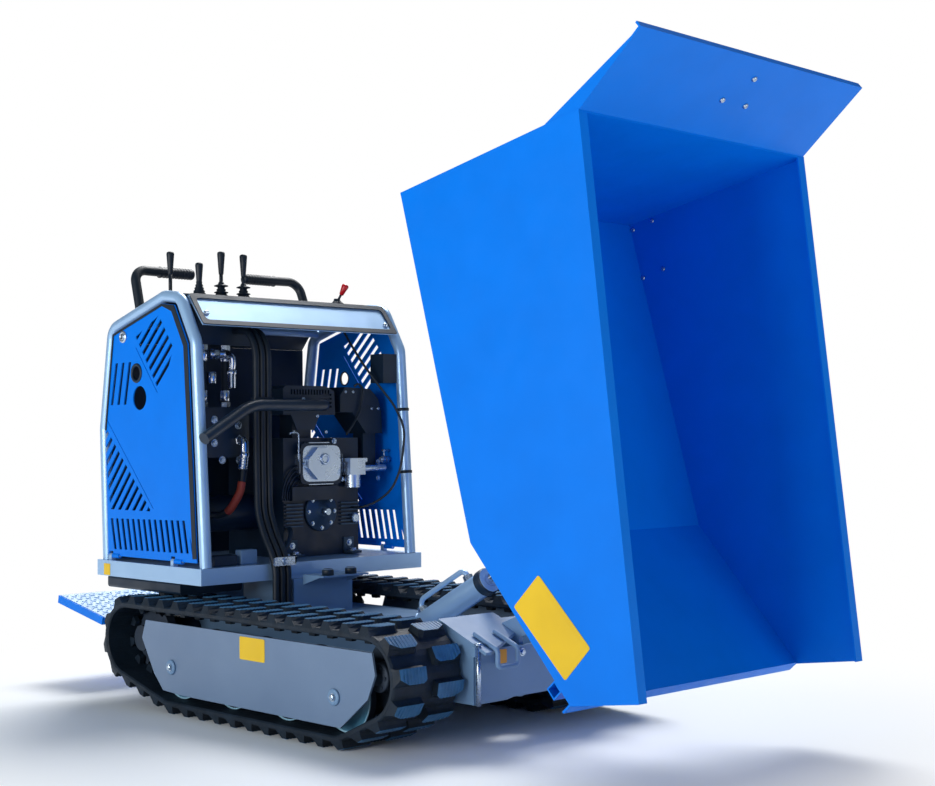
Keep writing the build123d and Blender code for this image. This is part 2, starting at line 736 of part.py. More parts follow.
# Hoops of round tube that carry the console and frame the side panels
hoop_line = [(deck_rear + hoop_foot_inset[0], deck_top), hoop_rear_mid, hoop_rear_bend, hoop_peak_rear,
             hoop_peak_front, hoop_shoulder, (deck_front - hoop_foot_inset[1], deck_top)]


def vent_slots(plane, outline, lean, pitch, middle):
    """Cuts parallel slots through a panel wherever they fall inside an outline."""
    reach = max(hypot(x - middle[0], z - middle[1]) for x, z in outline)
    normal = (sin(radians(lean)), -cos(radians(lean)))
    count = int(reach // pitch)
    with BuildSketch(plane) as cuts:
        with Locations(*[shifted(middle, normal, number * pitch) for number in range(-count, count + 1)]):
            Rectangle(2 * reach, slot_width, rotation=lean)
        with BuildLine():
            Polyline(*outline, close=True)
        make_face(mode=Mode.INTERSECT)
    extrude(cuts.sketch, amount=panel_sheet, mode=Mode.SUBTRACT)


for side, sign in SIDES:
    with BuildPart() as hoop:
        bent_tube([(x, sign * hoop_y, z) for x, z in hoop_line], tube_radius, hoop_bend)
        split(bisect_by=Plane.XY.offset(deck_top), keep=Keep.TOP)
    export(hoop.part, f"hoop_{side}")

    # Side panel hinged along its lower edge, with its vents cut
    face = Plane.XZ.offset(-sign * panel_y - panel_sheet / 2)
    with BuildPart() as panel:
        with BuildSketch(face) as outline:
            with BuildLine():
                Polyline((hoop_line[0][0], panel_hinge_z - panel_gap), *hoop_line[1:-1],
                         (hoop_line[-1][0], panel_hinge_z - panel_gap), close=True)
            make_face()
            offset(amount=-panel_gap, kind=Kind.INTERSECTION)
        extrude(outline.sketch, amount=panel_sheet)
        for vent in vents:
            vent_slots(face, *vent)
        with BuildSketch(face) as holes:
            for x, z, radius in round_holes:
                with Locations((x, z)):
                    Circle(radius)
        extrude(holes.sketch, amount=panel_sheet, mode=Mode.SUBTRACT)
        y = sign * panel_y
        for start, end in cut_lines:
            strip(start, end, 0, cut_width, y - panel_sheet, y + panel_sheet, Mode.SUBTRACT)
        for x in panel_hinge_x:
            block((x - 2 * panel_knuckle - panel_knuckle_gap, y - panel_sheet, panel_hinge_z),
                  (x, y + panel_sheet, panel_hinge_z + panel_knuckle + panel_knuckle_gap), Mode.SUBTRACT)
            rod((x, y, panel_hinge_z), (x + panel_knuckle_length, y, panel_hinge_z), panel_knuckle)
            rod((x, y, panel_hinge_z), (x + panel_knuckle_length, y, panel_hinge_z),
                panel_hinge_pin + pin_fit, Mode.SUBTRACT)
    export(panel.part, f"side_panel_{side}")

# Cross tubes between the hoops, and the sheet panels that they and the deck carry
panel_half = hoop_y - tube_radius


def console_z(x):
    """Gives the height of the console's top face."""
    for (front_x, front_z), (rear_x, rear_z) in zip(console_line, console_line[1:]):
        if rear_x <= x:
            return front_z + (rear_z - front_z) * (x - front_x) / (rear_x - front_x)


def console_normal(x):
    """Gives the upward direction square to the console's top face."""
    rise = console_z(x) - console_z(x - 1)
    return -rise / hypot(rise, 1), 0, 1 / hypot(rise, 1)


with BuildPart() as cross_tubes:
    for x in cross_tube_x:
        z = console_z(x) - console_sheet - pin_fit - cross_tube / console_normal(x)[2]
        rod((x, -panel_half, z), (x, panel_half, z), cross_tube)
export(cross_tubes.part, "cross_tubes")

with BuildPart() as console:
    underside = [(x, z - console_sheet) for x, z in reversed(console_line)]
    xz_outline([*console_line, *underside], -panel_half, panel_half)
export(console.part, "console_top")

front_top = (console_line[0][0], console_line[0][1] - console_sheet - pin_fit)
with BuildPart() as front_panel:
    strip(front_panel_low, front_top, 0, console_sheet, -panel_half, panel_half)
export(front_panel.part, "front_panel")

rear_x = console_line[-1][0]
with BuildPart() as rear_panel:
    block((rear_x, -panel_half, deck_top), (rear_x + panel_sheet, panel_half,
                                            console_line[-1][1] - console_sheet - pin_fit))
export(rear_panel.part, "rear_panel")

with BuildPart() as handlebars:
    for side, sign in SIDES:
        x, inset = handlebar_foot
        normal = console_normal(x)
        flange_radius, flange_height = handlebar_flange
        foot = (x, sign * (panel_half - inset), console_z(x))
        flange_top = tuple(a + flange_height * n for a, n in zip(foot, normal))
        rod(foot, flange_top, flange_radius)
        bend_x, bend_inset, bend_z = handlebar_bend
        end_x, end_inset, end_z = handlebar_end
        bent_tube([tuple(a + flange_height / 2 * n for a, n in zip(foot, normal)),
                   (bend_x, sign * (panel_half - bend_inset), bend_z),
                   (end_x, sign * (panel_half - end_inset), end_z)],
                  handlebar_radius, handlebar_bend_radius)
export(handlebars.part, "handlebars")


def lever_boot_solid(place):
    """Adds a tapered boot that stands on the console."""
    low_radius, top_radius, height = lever_boot
    x, y = place
    foot = Plane(origin=(x, y, console_z(x)), z_dir=console_normal(x))
    with BuildSketch(foot) as low_circle:
        Circle(low_radius)
    with BuildSketch(foot.offset(height)) as top_circle:
        Circle(top_radius)
    loft([low_circle.sketch.face(), top_circle.sketch.face()])


with BuildPart() as levers:
    for x, inset, lever_top in lever_places:
        y = inset - panel_half
        lever_boot_solid((x, y))
        low_z = console_z(x) + lever_boot[2] / 2
        knob_radius, knob_height = lever_knob
        rod((x, y, low_z), (x, y, lever_top - knob_height), lever_radius)
        rod((x, y, lever_top - knob_height), (x, y, lever_top), knob_radius)
export(levers.part, "control_levers")

with BuildPart() as throttle:
    x, inset = throttle_place
    y = panel_half - inset
    lever_boot_solid((x, y))
    knob_radius, knob_height = lever_knob
    low = (x, y, console_z(x) + lever_boot[2] / 2)
    tip = (throttle_tip[0], panel_half - throttle_tip[1], throttle_tip[2])
    rod(low, tip, lever_radius)
    rod(shifted(tip, tuple(a - b for a, b in zip(low, tip)), knob_height), tip, knob_radius)
export(throttle.part, "throttle_lever")

# Engine on its base, with the pieces that show in the open bay
engine_length, engine_width, engine_height = engine_size
engine_rear = engine_front - engine_length
engine_left = deck_half - engine_inset
engine_right = engine_left - engine_width
engine_top = engine_low + engine_height
engine_y = (engine_left + engine_right) / 2


def piece_block(front, middle_y, low, size, mode=Mode.ADD):
    """Adds a box given by its front face, its middle in Y, its underside and its size."""
    length, width, height = size
    block((front - length, middle_y - width / 2, low), (front, middle_y + width / 2, low + height), mode)


def yz_outline(front, depth, middle, outline):
    """Adds a piece whose outline of (y, z) points about a middle is seen from the front."""
    with BuildSketch(Plane(origin=(front - depth, *middle), x_dir=(0, 1, 0), z_dir=(1, 0, 0))) as face:
        with BuildLine():
            Polyline(*outline, close=True)
        make_face()
    extrude(face.sketch, amount=depth)


with BuildPart() as engine_base:
    block((engine_rear, engine_right, deck_top), (engine_front, engine_left, engine_low))
export(engine_base.part, "engine_base")

with BuildPart() as engine:
    block((engine_rear, engine_right, engine_low), (engine_front, engine_left, engine_top))
    ledge_y, ledge_rise = engine_ledge_place
    piece_block(engine_front + engine_ledge[0], engine_y + ledge_y, engine_low + ledge_rise, engine_ledge)
export(engine.part, "engine_block")

cover_middle = (engine_y + valve_cover_shift[0], (engine_low + engine_top) / 2 + valve_cover_shift[1])
with BuildPart() as valve_cover_piece:
    for depth, width, height in (valve_cover, valve_cover_raised):
        with BuildSketch(Plane(origin=(engine_front, *cover_middle), x_dir=(0, 1, 0), z_dir=(1, 0, 0))) as face:
            Rectangle(width, height)
            chamfer(face.vertices(), length=valve_cover_chamfer)
        extrude(face.sketch, amount=depth)
export(valve_cover_piece.part, "valve_cover")

# Muffler in its guard, with a row of louvres along the top and a few at its left end
muffler_front = exhaust_route[0][0]
muffler_middle = (engine_y + muffler_shift[0], engine_top + muffler_shift[1])
with BuildPart() as muffler_piece:
    yz_outline(muffler_front, muffler_depth, muffler_middle, muffler_outline)
    yz_outline(muffler_front, muffler_foot_plate, muffler_middle, muffler_foot)
    neck_length, neck_width = muffler_neck
    neck_front = muffler_front - (muffler_depth - neck_length) / 2
    muffler_low = muffler_middle[1] + muffler_outline[0][1]
    piece_block(neck_front, muffler_middle[0], engine_top, (neck_length, neck_width, muffler_low - engine_top))
    for number in range(louvre_count):
        y = muffler_middle[0] + louvre_start[0] + number * louvre_pitch
        piece_block(muffler_front, y, muffler_middle[1] + louvre_start[1] - louvre[2], louvre, Mode.SUBTRACT)
    for number in range(side_louvre_count):
        z = muffler_middle[1] + side_louvre_start[1] - number * side_louvre_pitch
        y = muffler_middle[0] + side_louvre_start[0]
        piece_block(muffler_front, y, z, side_louvre, Mode.SUBTRACT)
export(muffler_piece.part, "muffler")

with BuildPart() as exhaust:
    bent_tube(exhaust_route, exhaust_radius, list(exhaust_bends))
export(exhaust.part, "exhaust_pipe")

with BuildPart() as cleaner:
    yz_outline(muffler_front, air_cleaner_depth, (engine_left, engine_top), air_cleaner_outline)
    duct_length, duct_width, duct_height = air_duct
    duct_y = engine_left + air_duct_gap + duct_width / 2
    duct_top = engine_top + air_cleaner_outline[-2][1]
    piece_block(engine_front, duct_y, duct_top - duct_height, air_duct)
    piece_block(engine_front, engine_left + air_duct_gap / 2, duct_top - duct_height,
                (duct_length, air_duct_gap, air_duct_neck))
export(cleaner.part, "air_cleaner")

carburettor_y = engine_left + carburettor_shift[0]
carburettor_top = engine_low + carburettor_shift[1]
with BuildPart() as carburettor_piece:
    flange_length, flange_width, flange_height = carburettor_flange
    body_length, body_width, body_height = carburettor_body
    bowl_radius, bowl_height = carburettor_bowl
    body_low = carburettor_top - flange_height - body_height
    tap_radius, tap_length = fuel_tap
    piece_block(engine_front + flange_length, carburettor_y, carburettor_top - flange_height,
                carburettor_flange)
    piece_block(engine_front + body_length, carburettor_y, body_low, carburettor_body)
    bowl_x = engine_front + flange_length / 2
    rod((bowl_x, carburettor_y, body_low), (bowl_x, carburettor_y, body_low - bowl_height), bowl_radius)
    tap_y = carburettor_y + body_width / 2
    tap_z = body_low + body_height / 2
    rod((bowl_x, tap_y, tap_z), (bowl_x, tap_y + tap_length, tap_z), tap_radius)
export(carburettor_piece.part, "carburettor")

with BuildPart() as pump:
    rod((pump_x, pump_end, pump_z), (pump_x, engine_right, pump_z), pump_radius)
export(pump.part, "hydraulic_pump")

with BuildPart() as valve:
    front = pressure_hose_route[0][0]
    piece_block(front, valve_plate_y, valve_plate_low, valve_plate)
    leg_front = front - valve_plate[0] / 2
    leg_width = valve_plate[1] / 4
    leg_y = valve_plate_y - (valve_plate[1] - leg_width) / 2
    piece_block(leg_front, leg_y, deck_top, (valve_leg, leg_width, valve_plate_low - deck_top))
export(valve.part, "hydraulic_valve")

with BuildPart() as control_valve_piece:
    front = bundle_route[0][0]
    piece_block(front, control_valve_y, control_valve_low, control_valve)
    hanger_x = front - control_hanger
    hanger_low = control_valve_low + control_valve[2]
    for shift in (-control_valve[1] / 4, control_valve[1] / 4):
        piece_block(hanger_x, control_valve_y + shift, hanger_low,
                    (control_hanger, control_hanger, console_z(hanger_x) - console_sheet - pin_fit - hanger_low))
export(control_valve_piece.part, "control_valve")

# Two short hoses that drop from the control valve to the valve on its plate
with BuildPart() as drop_hoses:
    hose_x = pressure_hose_route[0][0] - drop_hose_shift[0] - drop_hose_radius
    for sign in (-1, 1):
        y = valve_plate_y + sign * valve_plate[1] / 4 + drop_hose_shift[1]
        rod((hose_x, y, valve_plate_low + valve_plate[2]), (hose_x, y, control_valve_low), drop_hose_radius)
export(drop_hoses.part, "drop_hoses")

with BuildPart() as relay_box_piece:
    box_front = x_on_line(hoop_shoulder, hoop_line[-1], relay_box_low + relay_box[2] / 2)
    piece_block(box_front, hoop_y - tube_radius - pin_fit - relay_box[1] / 2, relay_box_low, relay_box)
export(relay_box_piece.part, "relay_box")

with BuildPart() as clamp:
    (rear, low_y), (front, high_y) = hose_clamp
    block((rear, low_y, deck_top), (front, high_y, deck_top + hose_clamp_height))
export(clamp.part, "hose_clamp")


def corner_radii(points):
    """Gives each corner of a hose's route the largest bend that its runs leave room for."""
    radii = []
    for before, corner, after in zip(points, points[1:], points[2:]):
        run_in = Vector(*corner) - Vector(*before)
        run_out = Vector(*after) - Vector(*corner)
        turn = radians(run_in.get_angle(run_out))
        radii.append(hose_run_share * min(run_in.length, run_out.length) / tan(turn / 2))
    return radii


def flexible(points, radius):
    """Adds a hose or cable along a route and prints its bend radii."""
    radii = corner_radii(points)
    print("bend radii", [round(bend) for bend in radii])
    bent_tube(points, radius, radii)


with BuildPart() as bundle:
    for y in hose_rows:
        flexible([(x, y, z) for x, z in bundle_route], hose_radius)
export(bundle.part, "hose_bundle")

# Throttle cable that bows out of the bay, past the left hoop and back to the engine
with BuildPart() as throttle_cable:
    flexible(cable_route, cable_radius)
export(throttle_cable.part, "throttle_cable")

with BuildPart() as pressure_hose:
    flexible(pressure_hose_route, pressure_hose_radius)
export(pressure_hose.part, "pressure_hose")

# Platform hinged behind the chassis, sloping up to its rear edge
slope = radians(platform_tilt)
back = (-cos(slope), sin(slope))
hinge = (platform_hinge_x, platform_hinge_z)
platform_front = shifted(hinge, back, platform_front_gap)
platform_rear = shifted(hinge, back, platform_depth)
half_thick = platform_thick / 2
half = platform_width / 2
with BuildPart() as platform:
    strip(platform_rear, platform_front, -half_thick, half_thick, -half, half)
    inner_rear = shifted(hinge, back, platform_depth - platform_sheet)
    inner_front = shifted(hinge, back, platform_front_gap + platform_sheet)
    strip(inner_rear, inner_front, -half_thick, half_thick - platform_sheet, platform_sheet - half,
          half - platform_sheet, Mode.SUBTRACT)
    for sign in (-1, 1):
        outer_y = platform_bracket_y - platform_bracket / 2 - platform_lug_gap
        low_y, high_y = sorted((sign * outer_y, sign * (outer_y - platform_bracket)))
        lug_end = shifted(hinge, back, 2 * platform_front_gap)
        hull_plate([(*hinge, 2 * platform_pin), (*platform_front, platform_sheet), (*lug_end, platform_sheet)],
                   low_y, high_y)
    rod((platform_hinge_x, -half, platform_hinge_z), (platform_hinge_x, half, platform_hinge_z),
        platform_pin + pin_fit, Mode.SUBTRACT)
export(platform.part, "platform")
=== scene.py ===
"""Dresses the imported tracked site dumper: camera, light, floor, finishes and the detail on each piece."""
import json
from math import atan2, cos, hypot, pi, radians, sin

import bmesh
import bpy
from mathutils import Matrix, Vector


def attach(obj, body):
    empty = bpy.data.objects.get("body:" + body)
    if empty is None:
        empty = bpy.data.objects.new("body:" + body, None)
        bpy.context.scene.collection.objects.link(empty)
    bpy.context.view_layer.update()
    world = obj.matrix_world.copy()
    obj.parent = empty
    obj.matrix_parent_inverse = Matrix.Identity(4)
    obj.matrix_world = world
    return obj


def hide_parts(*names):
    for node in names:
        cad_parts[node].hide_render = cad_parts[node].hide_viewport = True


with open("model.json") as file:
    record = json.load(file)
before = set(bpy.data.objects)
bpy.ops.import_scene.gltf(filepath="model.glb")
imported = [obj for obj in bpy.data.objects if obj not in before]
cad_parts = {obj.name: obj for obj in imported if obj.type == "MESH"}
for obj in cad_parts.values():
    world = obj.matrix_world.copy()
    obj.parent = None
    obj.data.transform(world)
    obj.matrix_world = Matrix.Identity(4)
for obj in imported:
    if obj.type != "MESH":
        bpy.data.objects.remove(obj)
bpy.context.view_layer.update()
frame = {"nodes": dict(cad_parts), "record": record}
NODES = frame["nodes"]
SCENE = bpy.context.scene
SCENE.view_settings.view_transform = "Standard"
MM = 0.001
SIDES = (("right", -1), ("left", 1))
FORWARD = (1, 0, 0)
BACKWARD = (-1, 0, 0)
LEFT = (0, 1, 0)
UP = (0, 0, 1)
DOWN = (0, 0, -1)

# Camera at the photograph's angle
CAMERA_PLACE = (2.6468, -2.3561, 0.6309)
CAMERA_AZIMUTH = 45.783
CAMERA_LOOK_UP = 0.954
CAMERA_ROLL = -0.382
CAMERA_REACH = 50
IMAGE_WIDTH = 935
FOCAL_PIXELS = 1549.7
SENSOR_WIDTH = 36
VERTICAL_SHIFT = 15.7

# Lamps: name, place, target, size and power
LAMPS = (
    ("key", (0.2, -4.6, 1.1), (0.0, 0.0, 0.95), (3.2, 1.4), 125),
    ("fill", (4.6, 0.4, 1.4), (0.2, 0.0, 0.5), (2.0, 1.8), 22),
    ("top", (-1.5, 1.9, 4.0), (0.1, -0.1, 0.0), (2.4, 2.0), 205),
    ("back", (-4.0, 2.4, 2.0), (-0.2, 0.0, 0.5), (2.0, 1.6), 35),
)
SKY_COLOUR = (0.66, 0.84, 1.0, 1)
SKY_STRENGTH = 0.2
WHITE = (1, 1, 1, 1)
FLOOR_REACH = 14.0
FLOOR_COLOUR = (0.9, 0.92, 0.93, 1)
FADE_START = 0.75
FADE_END = 1.6


def make_camera():
    data = bpy.data.cameras.new("camera")
    data.sensor_width = SENSOR_WIDTH
    data.lens = SENSOR_WIDTH * FOCAL_PIXELS / IMAGE_WIDTH
    data.shift_y = VERTICAL_SHIFT / IMAGE_WIDTH
    data.clip_end = CAMERA_REACH
    camera = bpy.data.objects.new("camera", data)
    SCENE.collection.objects.link(camera)
    turn = (Matrix.Rotation(radians(CAMERA_AZIMUTH), 4, "Z")
            @ Matrix.Rotation(radians(90 + CAMERA_LOOK_UP), 4, "X")
            @ Matrix.Rotation(radians(CAMERA_ROLL), 4, "Z"))
    camera.matrix_world = Matrix.Translation(CAMERA_PLACE) @ turn
    SCENE.camera = camera


def make_light():
    for name, place, target, size, power in LAMPS:
        data = bpy.data.lights.new(name, "AREA")
        data.shape = "RECTANGLE"
        data.size, data.size_y = size
        data.energy = power
        lamp = bpy.data.objects.new(name, data)
        SCENE.collection.objects.link(lamp)
        lamp.location = place
        lamp.rotation_euler = (Vector(target) - Vector(place)).to_track_quat("-Z", "Y").to_euler()


def make_world():
    """A dim blue sky that the camera sees as white."""
    world = bpy.data.worlds.new("studio")
    SCENE.world = world
    world.use_nodes = True
    tree = world.node_tree
    tree.nodes.clear()
    output = tree.nodes.new("ShaderNodeOutputWorld")
    plain = tree.nodes.new("ShaderNodeBackground")
    plain.inputs["Color"].default_value = SKY_COLOUR
    plain.inputs["Strength"].default_value = SKY_STRENGTH
    white = tree.nodes.new("ShaderNodeBackground")
    white.inputs["Color"].default_value = WHITE
    white.inputs["Strength"].default_value = 1
    path = tree.nodes.new("ShaderNodeLightPath")
    mix = tree.nodes.new("ShaderNodeMixShader")
    tree.links.new(path.outputs["Is Camera Ray"], mix.inputs[0])
    tree.links.new(plain.outputs[0], mix.inputs[1])
    tree.links.new(white.outputs[0], mix.inputs[2])
    tree.links.new(mix.outputs[0], output.inputs[0])


def make_floor():
    """A pale floor that keeps the object's shadow and fades to white further out."""
    mesh = bpy.data.meshes.new("floor")
    corners = [(x * FLOOR_REACH, y * FLOOR_REACH, 0) for x, y in ((-1, -1), (1, -1), (1, 1), (-1, 1))]
    mesh.from_pydata(corners, [], [(0, 1, 2, 3)])
    floor = bpy.data.objects.new("floor", mesh)
    SCENE.collection.objects.link(floor)
    material = bpy.data.materials.new("floor")
    material.use_nodes = True
    tree = material.node_tree
    tree.nodes.clear()
    output = tree.nodes.new("ShaderNodeOutputMaterial")
    diffuse = tree.nodes.new("ShaderNodeBsdfDiffuse")
    diffuse.inputs["Color"].default_value = FLOOR_COLOUR
    glow = tree.nodes.new("ShaderNodeEmission")
    glow.inputs["Strength"].default_value = 1
    coords = tree.nodes.new("ShaderNodeTexCoord")
    distance = tree.nodes.new("ShaderNodeVectorMath")
    distance.operation = "LENGTH"
    fade = tree.nodes.new("ShaderNodeMapRange")
    fade.inputs["From Min"].default_value = FADE_START
    fade.inputs["From Max"].default_value = FADE_END
    fade.interpolation_type = "SMOOTHSTEP"
    mix = tree.nodes.new("ShaderNodeMixShader")
    tree.links.new(coords.outputs["Object"], distance.inputs[0])
    tree.links.new(distance.outputs["Value"], fade.inputs["Value"])
    tree.links.new(fade.outputs["Result"], mix.inputs[0])
    tree.links.new(diffuse.outputs[0], mix.inputs[1])
    tree.links.new(glow.outputs[0], mix.inputs[2])
    tree.links.new(mix.outputs[0], output.inputs[0])
    mesh.materials.append(material)


# Finishes: colour, second colour, range of roughness, and what differs from finish_material's defaults
FINISHES = {
    "blue_paint": ((0.0, 0.19, 0.82), (0.0, 0.175, 0.76), (0.34, 0.42), {"specular": 0.12}),
    "grey_paint": ((0.16, 0.28, 0.45), (0.14, 0.25, 0.41), (0.36, 0.46), {"specular": 0.4}),
    # The cover paint is a darker copy of the grey paint: painted shade on the side covers.
    "cover_painted_shade": ((0.145, 0.22, 0.345), (0.13, 0.20, 0.32), (0.3, 0.42), {"specular": 0.4}),
    "silver_paint": ((0.34, 0.54, 0.80), (0.30, 0.49, 0.75), (0.28, 0.38), {"metal": 0.3, "coat": 0.2}),
    "black_paint": ((0.004, 0.015, 0.034), (0.008, 0.024, 0.050), (0.32, 0.5), {"specular": 0.4}),
    "running_gear_grey": ((0.03, 0.05, 0.08), (0.015, 0.025, 0.045), (0.45, 0.7), {"metal": 0.3}),
    "track_rubber": ((0.003, 0.009, 0.018), (0.008, 0.019, 0.035), (0.45, 0.65),
                     {"patch": 24.0, "grain": 420.0, "relief": 0.25, "specular": 0.3}),
    "black_rubber": ((0.003, 0.009, 0.018), (0.006, 0.015, 0.028), (0.42, 0.55),
                     {"grain": 500.0, "relief": 0.12, "specular": 0.4}),
    "black_plastic": ((0.004, 0.014, 0.032), (0.007, 0.022, 0.046), (0.38, 0.5),
                      {"grain": 700.0, "relief": 0.2, "specular": 0.4}),
    "red_plastic": ((0.62, 0.004, 0.012), (0.54, 0.003, 0.010), (0.25, 0.35), {}),
    "chrome": ((0.75, 0.80, 0.88), (0.68, 0.73, 0.82), (0.12, 0.24), {"metal": 1.0}),
    "aluminium": ((0.62, 0.72, 0.85), (0.54, 0.64, 0.78), (0.22, 0.36), {"metal": 0.9}),
    "zinc": ((0.52, 0.62, 0.74), (0.40, 0.49, 0.60), (0.2, 0.36), {"metal": 0.95, "patch": 60.0}),
    "yellow_label": ((0.80, 0.52, 0.0), (0.72, 0.46, 0.0), (0.3, 0.42), {"relief": 0.02}),
    "orange_label": ((0.85, 0.34, 0.01), (0.78, 0.29, 0.01), (0.3, 0.42), {"relief": 0.02}),
    "hose_mark": ((0.42, 0.055, 0.03), (0.28, 0.03, 0.015), (0.5, 0.65), {"relief": 0.1}),
    # The lug tops are a lighter blue than the track rubber: a painted sky reflection on the tops of the
    # lugs.
    "lug_top_painted_reflection": ((0.045, 0.17, 0.33), (0.025, 0.11, 0.23), (0.35, 0.5),
                {"patch": 38.0, "grain": 300.0, "relief": 0.3, "specular": 0.4}),
    "cast_grey": ((0.045, 0.085, 0.14), (0.03, 0.06, 0.10), (0.35, 0.55),
                  {"metal": 0.5, "grain": 180.0, "relief": 0.25}),
    # The rim grey is a pale non-metal colour in place of the rims' bright zinc: a painted reflection.
    "rim_painted_reflection": ((0.30, 0.52, 0.66), (0.22, 0.42, 0.56), (0.3, 0.45), {"patch": 30.0}),
    "disc_grey": ((0.08, 0.24, 0.36), (0.05, 0.17, 0.28), (0.3, 0.45), {"patch": 30.0}),
    "tread_plate": ((0.20, 0.38, 0.64), (0.15, 0.31, 0.56), (0.25, 0.4), {"metal": 0.2, "patch": 14.0}),
}
NOISE_DETAIL = 3.0
NOISE_LOW = 0.3
NOISE_HIGH = 0.7
ROUGHNESS_FINER = 3


def noise_value(tree, coords, scale, low, high):
    """Gives a noise output spread between two values."""
    noise = tree.nodes.new("ShaderNodeTexNoise")
    noise.inputs["Scale"].default_value = scale
    noise.inputs["Detail"].default_value = NOISE_DETAIL
    tree.links.new(coords, noise.inputs["Vector"])
    spread = tree.nodes.new("ShaderNodeMapRange")
    spread.inputs["From Min"].default_value = NOISE_LOW
    spread.inputs["From Max"].default_value = NOISE_HIGH
    spread.inputs["To Min"].default_value = low
    spread.inputs["To Max"].default_value = high
    tree.links.new(noise.outputs["Fac"], spread.inputs["Value"])
    return spread.outputs["Result"]


def finish_material(name, colour, second, roughness, metal=0.0, coat=0.0, patch=9.0, grain=260.0,
                    relief=0.06, specular=0.5):
    """A material whose colour, roughness and grain vary over the surface."""
    material = bpy.data.materials.new(name)
    material.use_nodes = True
    tree = material.node_tree
    shader = tree.nodes["Principled BSDF"]
    shader.inputs["Metallic"].default_value = metal
    shader.inputs["Coat Weight"].default_value = coat
    shader.inputs["Specular IOR Level"].default_value = specular
    coords = tree.nodes.new("ShaderNodeTexCoord").outputs["Object"]
    mix = tree.nodes.new("ShaderNodeMix")
    mix.data_type = "RGBA"
    mix.inputs["A"].default_value = (*colour, 1)
    mix.inputs["B"].default_value = (*second, 1)
    tree.links.new(noise_value(tree, coords, patch, 0, 1), mix.inputs["Factor"])
    tree.links.new(mix.outputs["Result"], shader.inputs["Base Color"])
    low, high = roughness
    tree.links.new(noise_value(tree, coords, patch * ROUGHNESS_FINER, low, high), shader.inputs["Roughness"])
    bump = tree.nodes.new("ShaderNodeBump")
    bump.inputs["Strength"].default_value = relief
    bump.inputs["Distance"].default_value = MM
    tree.links.new(noise_value(tree, coords, grain, 0, 1), bump.inputs["Height"])
    tree.links.new(bump.outputs["Normal"], shader.inputs["Normal"])
    return material


MATERIALS = {name: finish_material(name, colour, second, roughness, **others)
             for name, (colour, second, roughness, others) in FINISHES.items()}
CAD_ROUNDING = 1.2
ROUNDING_STEPS = 2
SHARP_ANGLE = 35
# Finishes put in place of a node's slot: silver paint is the deck's own; the darker paint on the side covers
# and the black paint on the engine base are painted shade.
FINISH_AND_PAINTED_SHADE = {"side_cover_right": "cover_painted_shade", "side_cover_left": "cover_painted_shade", "deck": "silver_paint",
              "engine_base": "black_paint"}


def round_edges(thing, width):
    """Rounds an object's sharp edges."""
    bevel = thing.modifiers.new("rounding", "BEVEL")
    bevel.width = width * MM
    bevel.segments = ROUNDING_STEPS
    bevel.limit_method = "ANGLE"
    bevel.angle_limit = radians(SHARP_ANGLE)


def dress_cad():
    """Gives every CAD node its slot's material, or the finish listed for it with painted shade on the side
    covers and the engine base, and a small rounding of its sharp edges.
    """
    for part in frame["record"]["subparts"]:
        node = NODES[part["node"]]
        node.data.materials.clear()
        node.data.materials.append(MATERIALS[FINISH_AND_PAINTED_SHADE.get(part["node"], part["material_slot"])])
        round_edges(node, CAD_ROUNDING)


# Bolts, as shares of the head's radius: profiles are (height, radius)
DOME = ((0, 1), (0.25, 1), (0.55, 0.75), (0.65, 0.45), (0.45, 0.4))
DOME_SIDES = 16
HEX_HEAD = ((0.25, 1), (0.85, 1), (0.95, 0.8))
HEX_SIDES = 6
HEX_TURN = 0.3
WASHER = 1.5
WASHER_EDGE = 0.25
WASHER_RISE = 0.3
WASHER_TOP = 1.3
WASHER_SIDES = 20
FACETED_SIDES = 8


def circle_places(centre, across, up, radius, count, turn=0.0):
    """Gives points spaced evenly round a circle."""
    places = []
    for number in range(count):
        angle = turn + 2 * pi * number / count
        places.append(Vector(centre) + radius * (Vector(across) * cos(angle) + Vector(up) * sin(angle)))
    return places


def scaled(profile, size):
    return [(height * size, radius * size) for height, radius in profile]


